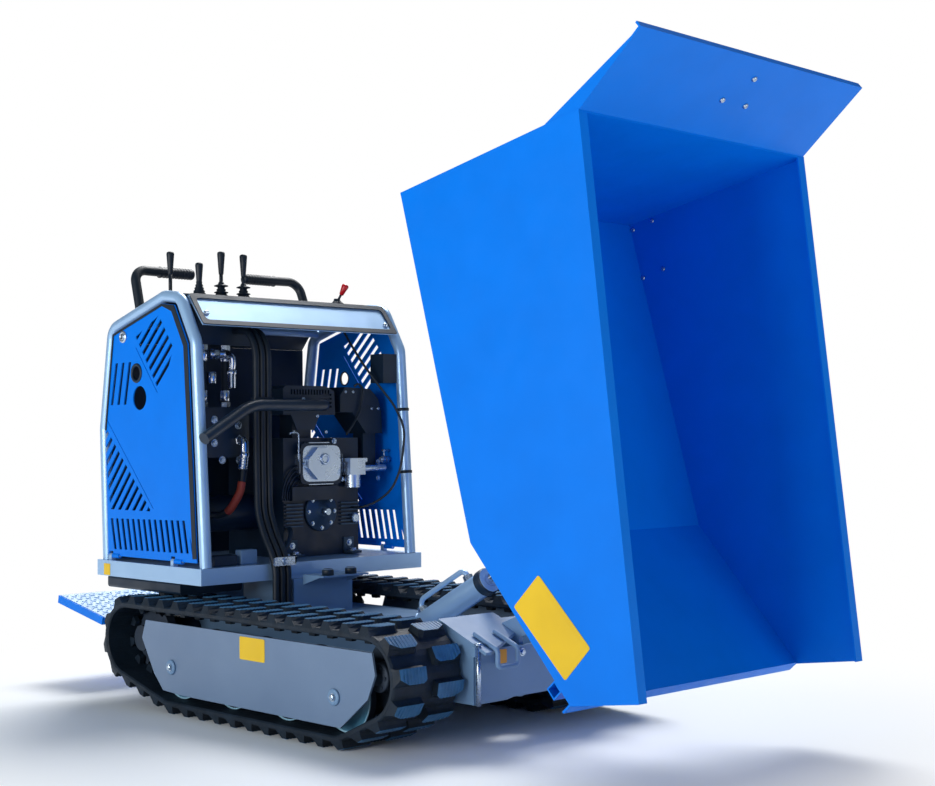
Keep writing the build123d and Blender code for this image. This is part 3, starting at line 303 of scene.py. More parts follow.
class Piece:
    """Collects shapes in millimetres into one mesh that rides on a body."""

    def __init__(self, name, body, slot, *materials):
        self.name = name
        self.body = body
        self.slot = slot
        self.materials = materials or (slot,)
        self.mesh = bmesh.new()

    def rows(self, rings):
        return [[self.mesh.verts.new(Vector(point) * MM) for point in ring] for ring in rings]

    def join(self, low, high, material, smooth):
        """Joins two closed rings of the same length with faces."""
        for i in range(len(low)):
            j = (i + 1) % len(low)
            face = self.mesh.faces.new((low[i], low[j], high[j], high[i]))
            face.smooth = smooth
            face.material_index = material

    def solid(self, rings, material=0, smooth=False, top=None):
        """Adds a closed form through rings of points, with flat ends."""
        rows = self.rows(rings)
        for low, high in zip(rows, rows[1:]):
            self.join(low, high, material, smooth)
        self.mesh.faces.new(rows[0][::-1]).material_index = material
        self.mesh.faces.new(rows[-1]).material_index = material if top is None else top

    def loop(self, rings, material=0, smooth=False):
        """Adds a closed ring through sections of points."""
        rows = self.rows(rings)
        for number, row in enumerate(rows):
            self.join(row, rows[(number + 1) % len(rows)], material, smooth)

    def prism(self, outline, offset, material=0):
        """Adds a flat outline of points pushed along an offset."""
        offset = Vector(offset)
        self.solid([[Vector(point) for point in outline], [Vector(point) + offset for point in outline]],
                   material)

    def box(self, low, high, material=0):
        """Adds a box between two corners."""
        outline = [(low[0], low[1], low[2]), (high[0], low[1], low[2]), (high[0], high[1], low[2]),
                   (low[0], high[1], low[2])]
        self.prism(outline, (0, 0, high[2] - low[2]), material)

    def lathe(self, place, axis, profile, sides=20, material=0, turn=0.0):
        """Turns a profile of (height along the axis, radius) about an axis."""
        axis = Vector(axis).normalized()
        side = axis.orthogonal().normalized()
        other = axis.cross(side)
        rings = [circle_places(Vector(place) + axis * height, side, other, radius, sides, turn)
                 for height, radius in profile]
        self.solid(rings, material, smooth=sides > FACETED_SIDES)

    def ring(self, place, axis, section, sides=40, material=0):
        """Turns a closed section of (height along the axis, radius) about an axis, open in its middle."""
        axis = Vector(axis).normalized()
        side = axis.orthogonal().normalized()
        rings = []
        for outward in circle_places((0, 0, 0), side, axis.cross(side), 1, sides):
            rings.append([Vector(place) + axis * height + outward * radius for height, radius in section])
        self.loop(rings, material)

    def bar(self, start, end, radius, sides=12, material=0):
        """Adds a round bar between two points."""
        run = Vector(end) - Vector(start)
        self.lathe(start, run, [(0, radius), (run.length, radius)], sides, material)

    def tube(self, points, radius, sides=10, steps=6, material=0):
        """Adds a tube along a smooth line through points."""
        line = smooth_line(points, steps)
        rings = []
        side = (line[1] - line[0]).orthogonal().normalized()
        for number, point in enumerate(line):
            ahead = (line[min(number + 1, len(line) - 1)] - line[max(number - 1, 0)]).normalized()
            side = (side - ahead * side.dot(ahead)).normalized()
            rings.append(circle_places(point, side, ahead.cross(side), radius, sides))
        self.solid(rings, material, smooth=True)

    def dome_bolt(self, place, normal, radius, material=0):
        """Adds a button-head bolt with its socket."""
        self.lathe(place, normal, scaled(DOME, radius), DOME_SIDES, material)

    def hex_bolt(self, place, normal, radius, material=0, washer=WASHER):
        """Adds a hexagon-head bolt on a washer, whose size is a share of the head's radius."""
        disc = ((0, washer), (WASHER_EDGE, washer), (WASHER_RISE, WASHER_TOP))
        self.lathe(place, normal, scaled(disc, radius), WASHER_SIDES, material)
        self.lathe(place, normal, scaled(HEX_HEAD, radius), HEX_SIDES, material, HEX_TURN)

    def finish(self, *replaced, bevel=0.0):
        """Makes the object, gives it its materials and lets it ride on its body."""
        bmesh.ops.recalc_face_normals(self.mesh, faces=self.mesh.faces)
        mesh = bpy.data.meshes.new(self.name)
        self.mesh.to_mesh(mesh)
        self.mesh.free()
        for material in self.materials:
            mesh.materials.append(MATERIALS[material])
        piece = bpy.data.objects.new(self.name, mesh)
        SCENE.collection.objects.link(piece)
        if bevel:
            round_edges(piece, bevel)
        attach(piece, self.body)
        if replaced:
            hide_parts(*replaced)
        return piece


def each(shape, rows):
    """Adds a shape once for every row of its arguments."""
    for row in rows:
        shape(*row)


def at_x(x, places):
    return [(x, y, z) for y, z in places]


def at_y(y, places):
    return [(x, y, z) for x, z in places]


def at_z(z, places):
    return [(x, y, z) for x, y in places]


def smooth_line(points, steps):
    """Gives points on a smooth line through a list of points."""
    knots = [Vector(point) for point in points]
    knots = [2 * knots[0] - knots[1], *knots, 2 * knots[-1] - knots[-2]]
    line = []
    for before, start, end, after in zip(knots, knots[1:], knots[2:], knots[3:]):
        bend = 2 * before - 5 * start + 4 * end - after
        twist = 3 * start - before - 3 * end + after
        for step in range(steps):
            t = step / steps
            line.append(0.5 * (2 * start + (end - before) * t + bend * t * t + twist * t * t * t))
    line.append(knots[-2])
    return line


def rounded(corners, radius, steps=4):
    """Gives a closed outline of 2-D points with its corners rounded."""
    points = []
    count = len(corners)
    for number in range(count):
        before, corner, after = (Vector(corners[(number + k) % count]) for k in (-1, 0, 1))
        start = corner + (before - corner).normalized() * radius
        end = corner + (after - corner).normalized() * radius
        for step in range(steps + 1):
            t = step / steps
            points.append((1 - t) ** 2 * start + 2 * t * (1 - t) * corner + t * t * end)
    return points


def rectangle(low, high):
    """Gives the corners of a rectangle between two 2-D corners."""
    return [(low[0], low[1]), (high[0], low[1]), (high[0], high[1]), (low[0], high[1])]


def offset_line(points, distance):
    """Shifts a line of 2-D points to its right by a distance."""
    shifted = []
    for number, point in enumerate(points):
        normals = []
        for a, b in ((number - 1, number), (number, number + 1)):
            if 0 <= a and b < len(points):
                run = (Vector(points[b]) - Vector(points[a])).normalized()
                normals.append(Vector((run.y, -run.x)))
        mean = sum(normals, Vector((0, 0))).normalized()
        shifted.append(Vector(point) + mean * distance / mean.dot(normals[0]))
    return shifted


# Tracks: heights are off the pitch line, lug outlines are (across, along)
TRACK_Y = 293
TRACK_WIDTH = 180
LOOP_WHEELS = ((-365, 105), (219, 105), (322, 152), (-546, 152))
ROAD_WHEELS = (-365, -170.3, 24.3, 219)
PITCH_RADIUS = 84
LINK_COUNT = 38
BAND_ABOVE = 5
BAND_BELOW = 8
BAND_EDGE = 3
BAND_TOP_EDGE = 4
BAND_STEPS = 190
LUG_HEIGHT = 15
LUG_SINK = 3
LUG_FOOT = ((0, -20), (30, -20), (68, -20), (76, -18), (76, 19), (0, 19))
LUG_WAIST = ((3, -9), (29, -15), (66, -15), (75, -9), (75, 14), (3, 14))
LUG_TOP = ((5, -3), (28, -13), (66, -13), (75, -7), (75, 13), (5, 13))
LUG_RIBS = 8
RIB_WIDTH = 4.2
RIB_HEIGHT = 1.0
RIB_SINK = 0.2
GUIDE_TOOTH = ((-14, 7), (14, 7), (9, 25), (-9, 25))
GUIDE_SPREAD = 22
GUIDE_THICK = 13


def loop_runs():
    """Gives the loop's straight runs and arcs as (kind, length, centre, heading)."""
    runs = []
    for number, centre in enumerate(LOOP_WHEELS):
        following = LOOP_WHEELS[(number + 1) % len(LOOP_WHEELS)]
        after = LOOP_WHEELS[(number + 2) % len(LOOP_WHEELS)]
        heading = atan2(following[1] - centre[1], following[0] - centre[0])
        turned = atan2(after[1] - following[1], after[0] - following[0])
        runs.append(("run", hypot(following[0] - centre[0], following[1] - centre[1]), centre, heading))
        runs.append(("arc", ((turned - heading) % (2 * pi)) * PITCH_RADIUS, following, heading))
    return runs


LOOP_RUNS = loop_runs()
LOOP_LENGTH = sum(run[1] for run in LOOP_RUNS)


def loop_place(distance, height):
    """Gives the (x, z) point at a distance along the pitch line and a height outside it."""
    distance %= LOOP_LENGTH
    for kind, length, centre, heading in LOOP_RUNS:
        if distance <= length:
            break
        distance -= length
    reach = PITCH_RADIUS + height
    outward = heading - pi / 2
    if kind == "arc":
        outward += distance / PITCH_RADIUS
        distance = 0
    return (centre[0] + reach * cos(outward) + distance * cos(heading),
            centre[1] + reach * sin(outward) + distance * sin(heading))


def top_span(across):
    """Gives the near and far edge of a lug's top at a distance across the track."""
    near = LUG_TOP[3][1]
    for (y0, s0), (y1, s1) in zip(LUG_TOP[:3], LUG_TOP[1:4]):
        if y0 <= across <= y1:
            near = s0 + (s1 - s0) * (across - y0) / (y1 - y0)
    return near, LUG_TOP[4][1]


def add_lug(track, middle, edge, inward):
    """Adds one lug whose outer end is at an edge of the track, with ribs on its top."""
    def at(across, along, height):
        x, z = loop_place(middle + along, height)
        return x, edge + inward * across, z

    # The lug's top face and its ribs take the lug-top material, a painted sky reflection.
    track.solid([[at(y, s, BAND_ABOVE - LUG_SINK) for y, s in LUG_FOOT],
                 [at(y, s, BAND_ABOVE + LUG_HEIGHT / 2) for y, s in LUG_WAIST],
                 [at(y, s, BAND_ABOVE + LUG_HEIGHT) for y, s in LUG_TOP]], 0, top=1)
    width = LUG_TOP[4][0] - LUG_TOP[0][0]
    for rib in range(LUG_RIBS):
        middle_y = LUG_TOP[0][0] + (rib + 0.5) * width / LUG_RIBS
        y0, y1 = middle_y - RIB_WIDTH / 2, middle_y + RIB_WIDTH / 2
        (near0, far0), (near1, far1) = top_span(y0), top_span(y1)
        outline = [(y0, near0), (y1, near1), (y1, far1), (y0, far0)]
        track.solid([[at(y, s, BAND_ABOVE + LUG_HEIGHT - RIB_SINK) for y, s in outline],
                     [at(y, s, BAND_ABOVE + LUG_HEIGHT + RIB_HEIGHT) for y, s in outline]], 1)


def make_track(side, sign):
    """A rubber track: the band, two staggered rows of ribbed lugs with a painted sky reflection on their
    tops, and the guide teeth inside.
    """
    track = Piece(f"track_tread_{side}", "chassis", "track_rubber", "track_rubber", "lug_top_painted_reflection")
    outer = sign * (TRACK_Y + TRACK_WIDTH / 2)
    inner = sign * (TRACK_Y - TRACK_WIDTH / 2)
    section = ((outer, BAND_ABOVE - BAND_EDGE), (outer - sign * BAND_TOP_EDGE, BAND_ABOVE),
               (inner + sign * BAND_TOP_EDGE, BAND_ABOVE), (inner, BAND_ABOVE - BAND_EDGE),
               (inner, BAND_EDGE - BAND_BELOW), (inner + sign * BAND_EDGE, -BAND_BELOW),
               (outer - sign * BAND_EDGE, -BAND_BELOW), (outer, BAND_EDGE - BAND_BELOW))
    rings = []
    for number in range(BAND_STEPS):
        ring = []
        for y, height in section:
            x, z = loop_place(LOOP_LENGTH * number / BAND_STEPS, height)
            ring.append((x, y, z))
        rings.append(ring)
    track.loop(rings)
    step = LOOP_LENGTH / LINK_COUNT
    for link in range(LINK_COUNT):
        add_lug(track, link * step, outer, -sign)
        add_lug(track, (link + 0.5) * step, inner, sign)
        for shift in (-GUIDE_SPREAD, GUIDE_SPREAD):
            tooth = []
            for y in (shift - GUIDE_THICK / 2, shift + GUIDE_THICK / 2):
                line = [loop_place(link * step + along, -depth) for along, depth in GUIDE_TOOTH]
                tooth.append(at_y(sign * TRACK_Y + y, line))
            track.solid(tooth)
    track.finish(f"track_{side}")


# Running gear: profiles are (height along the axis, radius)
COVER_FACE = 372
COVER_LABEL = ((-102, 199), (-13, 199), (-13, 150), (-102, 150))
COVER_BOSS = ((0, 17), (3.5, 17), (5, 15.5), (5, 11))
COVER_BOLT_FACE = 376.6
COVER_BOLT_RADIUS = 6.5
COVER_BOLT_WASHER = 1.3
RIM_FACE = 340
RIM = ((0, 75.4), (2.4, 75.4), (2.8, 74.6), (2.8, 73.4), (0.8, 72))
ROLLER_DISC = ((0, 72.2), (1.2, 72.2), (1.2, 40), (4, 36), (4, 18))
HUB_FACE = 337
HUB = ((0, 30), (7, 30), (9, 27), (9, 13), (14, 12), (14, 6))
HUB_BOLT_FACE = 345
HUB_BOLT_CIRCLE = 22
HUB_BOLT_COUNT = 6
HUB_BOLT_RADIUS = 3.6
HUB_BOLT_WASHER = 1.2
LABEL_THICK = 0.9
LABEL_CORNER = 4


def flat_label(name, body, corners, y, sign, radius=LABEL_CORNER):
    """A blank yellow plate on a face square to Y."""
    label = Piece(name, body, "grey_paint", "yellow_label")
    label.prism(at_y(y, rounded(corners, radius)), (0, sign * LABEL_THICK, 0))
    label.finish()


def make_running_gear(side, sign):
    """The side cover's bolts and blank label, rims with a painted reflection and discs on the rollers, and
    the front hub.
    """
    outward = (0, sign, 0)
    bolts = Piece(f"cover_bolts_{side}", "chassis", "grey_paint", "grey_paint", "zinc")
    for x, z in LOOP_WHEELS[:2]:
        bolts.lathe((x, sign * COVER_FACE, z), outward, COVER_BOSS, sides=32)
        bolts.hex_bolt((x, sign * COVER_BOLT_FACE, z), outward, COVER_BOLT_RADIUS, 1, COVER_BOLT_WASHER)
    bolts.finish()
    flat_label(f"cover_label_{side}", "chassis", COVER_LABEL, sign * COVER_FACE, sign)
    rims = Piece(f"roller_rims_{side}", "chassis", "running_gear_grey", "rim_painted_reflection", "running_gear_grey",
                 "disc_grey")
    for x in ROAD_WHEELS:
        place = (x, sign * RIM_FACE, LOOP_WHEELS[0][1])
        # The rims take the rim grey, a painted reflection of bright zinc.
        rims.lathe(place, outward, RIM, sides=48)
        rims.lathe(place, outward, ROLLER_DISC, sides=40, material=2 if x in ROAD_WHEELS[::3] else 1)
    x, z = LOOP_WHEELS[2]
    rims.lathe((x, sign * HUB_FACE, z), outward, HUB, sides=32, material=1)
    middle = (x, sign * HUB_BOLT_FACE, z)
    for place in circle_places(middle, FORWARD, UP, HUB_BOLT_CIRCLE, HUB_BOLT_COUNT):
        rims.hex_bolt(place, outward, HUB_BOLT_RADIUS, 1, HUB_BOLT_WASHER)
    rims.finish()


# Skip
SKIP_SIDE = 346
SKIP_LABEL = ((759, 381), (880, 262), (821, 200), (698, 320))
SKIP_LABEL_CORNER = 5
GUARD_BOLTS = ((969.3, 23.2, 1286.1), (925.0, -15.9, 1248.5), (924.3, 57.2, 1247.9))
GUARD_BOLT_RADIUS = 6
GUARD_NORMAL = (0.647, 0, -0.762)
INNER_BOLTS = ((412.8, 1088.9), (467.6, 1103.5), (497.5, 994.0), (440.5, 978.5))
INNER_BOLT_RADIUS = 5
INNER_FACE = 342


def make_skip_details():
    """Bolts on the guard and inside the skip, and the blank labels on its sides."""
    bolts = Piece("skip_bolts", "skip", "chrome", "zinc")
    for place in GUARD_BOLTS:
        bolts.dome_bolt(place, GUARD_NORMAL, GUARD_BOLT_RADIUS)
    for x, z in INNER_BOLTS:
        for sign in (-1, 1):
            bolts.dome_bolt((x, sign * INNER_FACE, z), (0, -sign, 0), INNER_BOLT_RADIUS)
    bolts.finish()
    for side, sign in SIDES:
        flat_label(f"skip_label_{side}", "skip", SKIP_LABEL, sign * SKIP_SIDE, sign, SKIP_LABEL_CORNER)


# Side panels and hoops: lines are (x, z), sections are (radius, height off the panel)
PANEL_FACE = 325.5
HOOP_LINE = ((-742, 650), (-704, 897), (-472, 963), (-408, 955), (-347, 850), (-312, 329))
HOOP_Y = 314
SEAL = (18.5, 24, 34)
SEAL_END = 22
SEAL_THICK = 2.5
SEAL_ROUNDING = 0.8
LOCK = (-641, 874)
LOCK_RING = ((0, 15), (2, 15), (4, 12.5), (4, 9.5), (3, 9))
LOCK_BARREL = ((2.5, 8), (5, 7.5), (5, 5), (4, 4))
LOCK_SLOT = (1, 0.4, 6)
LOCK_SLOT_RISE = 5
GROMMET = (-582, 784)
GROMMET_SECTION = ((24, 0), (23.4, 2), (21, 3.2), (18, 3), (16.4, 1), (16.4, -4), (18, -4))
GROMMET_SIDES = 32
TIE_HEIGHTS = (540, 700)
TIE = ((0, 15), (0.5, 16), (7, 16), (7.5, 15))
DECK_LABEL = ((-711, 321), (-683, 321), (-683, 293), (-711, 293))
DECK_LABEL_CORNER = 2
DECK_FACE = 338


def make_panel(side, sign):
    """Rubber seal along the front edge of a side panel, its lock and the ring in its round hole."""
    outward = (0, sign, 0)
    seal = Piece(f"panel_seal_{side}", f"side_panel_{side}", "black_rubber")
    near = offset_line(HOOP_LINE, SEAL[0])
    far = offset_line(HOOP_LINE, SEAL[1])[:3] + offset_line(HOOP_LINE, SEAL[2])[3:]
    for ends in (near, far):
        ends[-1] = ends[-1] + Vector((0, SEAL_END))
    seal.prism(at_y(sign * PANEL_FACE, near + far[::-1]), (0, sign * SEAL_THICK, 0))
    seal.finish(bevel=SEAL_ROUNDING)
    lock = Piece(f"panel_lock_{side}", f"side_panel_{side}", "chrome", "zinc", "black_plastic", "aluminium")
    place = Vector((LOCK[0], sign * PANEL_FACE, LOCK[1]))
    lock.lathe(place, outward, LOCK_RING, sides=32, material=2)
    lock.lathe(place, outward, LOCK_BARREL, sides=24)
    slot = place + Vector(outward) * LOCK_SLOT_RISE
    lock.box(slot - Vector(LOCK_SLOT), slot + Vector(LOCK_SLOT), 1)
    rings = []
    x, z = GROMMET
    for turn in circle_places((0, 0), (1, 0), (0, 1), 1, GROMMET_SIDES):
        rings.append([(x + radius * turn.x, sign * (PANEL_FACE + rise), z + radius * turn.y)
                      for radius, rise in GROMMET_SECTION])
    lock.loop(rings, 1, smooth=True)
    lock.finish()


def make_hoop_details():
    """Cable ties on the left hoop's front leg, and the blank labels on the deck's ends."""
    ties = Piece("hoop_ties", "chassis", "black_rubber")
    (top_x, top_z), (foot_x, foot_z) = HOOP_LINE[-2:]
    down = (foot_x - top_x, 0, foot_z - top_z)
    for height in TIE_HEIGHTS:
        x = foot_x + (foot_x - top_x) * (height - foot_z) / (foot_z - top_z)
        ties.lathe((x, HOOP_Y, height), down, TIE, sides=24)
    ties.finish()
    for side, sign in SIDES:
        flat_label(f"deck_label_{side}", "chassis", DECK_LABEL, sign * DECK_FACE, sign, DECK_LABEL_CORNER)


# Front panel: local places are (up the slope, y, height off the panel)
FRONT_LOW = Vector((-340, 0, 890))
FRONT_UP = Vector((-60, 0, 75)).normalized()
FRONT_OUT = Vector((75, 0, 60)).normalized()
FRONT_LENGTH = 96
FRONT_HALF = 300
FRAME_WIDTH = 14
FRAME_THICK = 2.5
FRAME_OUTER_CORNER = 8
FRAME_INNER_CORNER = 12
FRAME_ROUNDING = 0.6
FRONT_BOLTS = ((36, -275), (30, 275))
FRONT_BOLT_RADIUS = 7


def on_front(up, y, out=0.0):
    return FRONT_LOW + FRONT_UP * up + FRONT_OUT * out + Vector((0, y, 0))


def make_front_panel():
    """Black frame round the front panel and its bolts."""
    border = Piece("front_frame", "chassis", "black_paint", "black_paint", "zinc")
    outer = rounded(rectangle((0, -FRONT_HALF), (FRONT_LENGTH, FRONT_HALF)), FRAME_OUTER_CORNER)
    high = FRONT_LENGTH - FRAME_WIDTH
    half = FRONT_HALF - FRAME_WIDTH
    inner = rounded(rectangle((FRAME_WIDTH, -half), (high, half)), FRAME_INNER_CORNER)
    layers = ((outer, 0), (outer, FRAME_THICK), (inner, FRAME_THICK), (inner, 0))
    border.loop([[on_front(*place, rise) for place in outline] for outline, rise in layers])
    for up, y in FRONT_BOLTS:
        border.dome_bolt(on_front(up, y), FRONT_OUT, FRONT_BOLT_RADIUS, 1)
    border.finish(bevel=FRAME_ROUNDING)


# Levers: foot (x, y, z), height of the tip, and the heights of the discs on the bellows
LEVER_DISCS = (6, 22)
LEVERS = ((-550, -250, 950, 1080, ()), (-450, -235, 969, 1046, ()),
          (-455, -168, 969.5, 1078, LEVER_DISCS), (-455, -102, 969.5, 1076, LEVER_DISCS))
LEVER_RADIUS = 4.6
LEVER_START = 20
LEVER_END = 50
BELLOWS = ((0, 16), (3, 16), (5, 13), (9, 14), (12, 10.5), (16, 11.5), (19, 8.5), (23, 9.5), (26, 7),
           (31, 7.5), (35, 5.5))
GRIP = ((0, 5.2), (3, 6), (30, 8), (50, 9.5), (54, 8.5), (56, 5))
GRIP_LENGTH = 56
DISC = ((0, 8), (2, 17), (4, 17), (7, 9))
HANDLE_PLACE = (-706, 182, 1047)
HANDLE_GRIP = ((0, 12), (1.5, 14.5), (5, 14.5), (8, 13.2), (92, 13.2), (97, 14), (101, 12.5), (104, 8))
RIDGE = ((0, 13), (1, 14), (3, 14), (4, 13))
RIDGE_COUNT = 9
RIDGE_START = 14
RIDGE_PITCH = 9
THROTTLE_FOOT = (-460, 198, 970.5)
THROTTLE_BOSS = ((0, 17), (2.5, 17), (4, 14), (9, 9), (14, 8))
THROTTLE_STEM = ((-460, 198, 975), (-450, 206, 999))
THROTTLE_RADIUS = 3.2
KNOB_FOOT = (-452, 205, 994)
KNOB_LEAN = (10, 8, 26)
KNOB = ((0, 4), (1, 5.5), (14, 7.5), (24, 9.5), (28, 8.5), (30, 5))


def make_controls():
    """Levers with bellows and tapered grips, the grips of the handlebars, and the throttle lever."""
    levers = Piece("levers", "chassis", "black_rubber")
    for x, y, low, high, discs in LEVERS:
        levers.lathe((x, y, low), UP, BELLOWS, sides=24)
        levers.bar((x, y, low + LEVER_START), (x, y, high - LEVER_END), LEVER_RADIUS, sides=14)
        levers.lathe((x, y, high - GRIP_LENGTH), UP, GRIP, sides=20)
        for rise in discs:
            levers.lathe((x, y, low + rise), UP, DISC, sides=24)
    levers.finish("control_levers")
    bars = Piece("handlebar_ends", "chassis", "black_rubber")
    x, y, z = HANDLE_PLACE
    for sign in (-1, 1):
        inward = (0, -sign, 0)
        bars.lathe((x, sign * y, z), inward, HANDLE_GRIP, sides=24)
        for number in range(RIDGE_COUNT):
            along = y - RIDGE_START - number * RIDGE_PITCH
            bars.lathe((x, sign * along, z), inward, RIDGE, sides=24)
    bars.finish()
    throttle = Piece("throttle", "chassis", "red_plastic", "black_plastic", "red_plastic")
    throttle.lathe(THROTTLE_FOOT, UP, THROTTLE_BOSS, sides=28)
    throttle.bar(*THROTTLE_STEM, THROTTLE_RADIUS, sides=14)
    throttle.lathe(KNOB_FOOT, KNOB_LEAN, KNOB, sides=20, material=1)
    throttle.finish("throttle_lever")


# Engine bay. Screws and bolts are on faces square to X: x, radius, and the places (y, z)
ENGINE_SCREWS = (
    (-400, 5, ((39, 722), (83, 680), (110, 640), (8, 640))),
    (-400, 4, ((175, 742), (200, 742), (262, 700), (285, 700))),
)
ENGINE_BOLTS = (
    (-389, 5, ((128, 617),)),
    (-391, 3.5, ((34, 561), (146, 561))),
    (-402, 4.5, ((165, 520), (165, 560), (285, 520), (285, 562))),
)
# Turned pieces: place, axis, profile, sides and material
ENGINE_TURNED = (
    ((-400, 128, 617), FORWARD, ((0, 9), (10, 9), (12, 7), (12, 5)), 18, 1),
    ((-380, 90, 572), FORWARD, ((0, 14.5), (2, 14.5), (3.5, 12), (3.5, 9), (1.5, 8)), 28, 3),
    ((-395, 292, 568), LEFT, ((0, 9), (8, 9)), 6, 0),
    ((-395, 304, 568), LEFT, ((0, 9), (8, 9)), 6, 0),
)
# Tubes: points, radius, sides, steps and material
ENGINE_TUBES = (
    (((-392, -10, 634), (-390, -8, 638), (-389, 4, 638.5), (-389, 13, 636), (-389, 15, 625),
      (-389, 14, 566)), 2.2, 10, 5, 0),
    (((-402, 205, 756), (-394, 212, 762), (-390, 222, 752), (-391, 227, 739), (-392, 217, 696),
      (-394, 193, 657), (-402, 178, 632)), 3, 10, 6, 2),
)
# Bars of the fuel tap: start, end, radius, sides and material
FUEL_TAP = (
    ((-395, 285, 568), (-395, 318, 568), 5, 14, 3),
    ((-395, 300, 572), (-395, 300, 592), 2.5, 10, 0),
    ((-395, 294, 591), (-395, 318, 591), 3, 12, 0),
)
# Plates round the valve cover: x, thickness, lowest and highest corner, corner radius and material
VALVE_PLATES = (
    (-394, 1.4, (24, 510), (156, 612), 14, 1),
    (-393, 1.6, (30, 516), (150, 606), 22, 3),
)
CURVED_FINS = 6
CURVED_FIN_FIRST = 0.32
CURVED_FIN_X = -404
CURVED_FIN_MIDDLE = (28, 471)
CURVED_FIN_REACH = (53, 85)
CURVED_FIN_ANGLES = range(0, 91, 10)
CURVED_FIN_RADIUS = 2.4
CURVED_FIN_LEDGE = ((-412, -25, 468), (-404, 28, 475))


def make_engine_details():
    """Screws, caps, curved fins, plates, a thin pipe, a cable and the fuel tap on the engine's pieces."""
    bits = Piece("engine_bits", "chassis", "chrome", "zinc", "black_paint", "black_rubber", "aluminium")
    for x, radius, places in ENGINE_SCREWS:
        for place in at_x(x, places):
            bits.dome_bolt(place, FORWARD, radius)
    for x, radius, places in ENGINE_BOLTS:
        for place in at_x(x, places):
            bits.hex_bolt(place, FORWARD, radius)
    each(bits.lathe, ENGINE_TURNED)
    each(bits.tube, ENGINE_TUBES)
    each(bits.bar, FUEL_TAP)
    for x, thick, low, high, corner, material in VALVE_PLATES:
        bits.prism(at_x(x, rounded(rectangle(low, high), corner)), (thick, 0, 0), material)
    for number in range(CURVED_FINS):
        reach = CURVED_FIN_FIRST + (1 - CURVED_FIN_FIRST) * number / (CURVED_FINS - 1)
        arc = []
        for angle in CURVED_FIN_ANGLES:
            y = CURVED_FIN_MIDDLE[0] - CURVED_FIN_REACH[0] * reach * cos(radians(angle))
            z = CURVED_FIN_MIDDLE[1] + CURVED_FIN_REACH[1] * reach * sin(radians(angle))
            arc.append((CURVED_FIN_X, y, z))
        bits.tube(arc, CURVED_FIN_RADIUS, sides=8, steps=2, material=1)
    bits.box(*CURVED_FIN_LEDGE, 1)
    bits.finish()


# Front of the engine block and its base
FIN_COUNT = 7
FIN_LOW = 404
FIN_PITCH = 9
FIN_THICK = 3.5
FIN_X = (-412, -404)
FIN_SPANS = ((-12, 40), (162, 222))
CRANKCASE = (100, 440)
CRANKCASE_COVER = ((0, 50), (5, 50), (7, 47), (7, 34), (10, 31), (10, 16), (17, 14), (17, 9))
CRANKCASE_FACE = -412
CRANKCASE_BOLTS = 8
CRANKCASE_BOLT_X = -405
CRANKCASE_BOLT_CIRCLE = 41
CRANKCASE_BOLT_RADIUS = 4
CRANKCASE_BOLT_WASHER = 1.3
SHAFT_X = (-395, -378)
SHAFT_RADIUS = 8
FEET = (8, 190)
FOOT_HALF = 16
# Plates of a foot: x and z of the lowest and the highest corner
FOOT_PLATES = (((-412, 332), (-376, 338)), ((-412, 332), (-407, 372)))
# Bolts of a foot: x, z, axis and radius
FOOT_BOLTS = ((-391, 338, UP, 8), (-407, 358, FORWARD, 6))
DRAIN_PLUG = ((-412, 205, 420), FORWARD, ((0, 13), (14, 13), (16, 10), (16, 7)), 6, 1)
DRAIN_PIPE = ((-404, -4, 402), (-392, -8, 392), (-384, -20, 372), (-380, -40, 350), (-380, -70, 338))
DRAIN_PIPE_RADIUS = 6
DRAIN_NUT = ((-380, -70, 329), UP, ((0, 12), (10, 12), (12, 9)), 6, 1)


def make_engine_front():
    """Fins, crankcase cover, feet, plug and pipe on the front of the engine and its base."""
    front = Piece("engine_front", "chassis", "black_paint", "black_paint", "zinc", "cast_grey")
    for number in range(FIN_COUNT):
        z = FIN_LOW + FIN_PITCH * number
        for low, high in FIN_SPANS:
            front.box((FIN_X[0], low, z), (FIN_X[1], high, z + FIN_THICK), 2)
    y, z = CRANKCASE
    front.lathe((CRANKCASE_FACE, y, z), FORWARD, CRANKCASE_COVER, sides=48, material=2)
    front.bar((SHAFT_X[0], y, z), (SHAFT_X[1], y, z), SHAFT_RADIUS, sides=20, material=1)
    middle = (CRANKCASE_BOLT_X, y, z)
    for place in circle_places(middle, LEFT, UP, CRANKCASE_BOLT_CIRCLE, CRANKCASE_BOLTS):
        front.hex_bolt(place, FORWARD, CRANKCASE_BOLT_RADIUS, 1, CRANKCASE_BOLT_WASHER)
    for foot in FEET:
        for low, high in FOOT_PLATES:
            front.box((low[0], foot - FOOT_HALF, low[1]), (high[0], foot + FOOT_HALF, high[1]), 2)
        for x, z, axis, radius in FOOT_BOLTS:
            front.hex_bolt((x, foot, z), axis, radius, 1)
    each(front.lathe, (DRAIN_PLUG, DRAIN_NUT))
    front.tube(DRAIN_PIPE, DRAIN_PIPE_RADIUS, sides=12)
    front.finish()


# Rear panel
REAR_BOLTS = [(y, z) for y in (-280, 0, 280) for z in (352, 600, 840)]
REAR_BOLT_X = -737
REAR_BOLT_RADIUS = 6
SLAT_COUNT = 9
SLAT_LOW = 420
SLAT_PITCH = 14
SLAT_X = (-739.5, -736.5)
SLAT_HALF = 110
SLAT_HEIGHT = 6


def make_rear_details():
    """Bolts and slats on the rear panel."""
    rear = Piece("rear_bits", "chassis", "black_paint", "zinc", "black_rubber")
    for place in at_x(REAR_BOLT_X, REAR_BOLTS):
        rear.dome_bolt(place, BACKWARD, REAR_BOLT_RADIUS)
    for number in range(SLAT_COUNT):
        z = SLAT_LOW + SLAT_PITCH * number
        rear.box((SLAT_X[0], -SLAT_HALF, z), (SLAT_X[1], SLAT_HALF, z + SLAT_HEIGHT), 1)
    rear.finish()


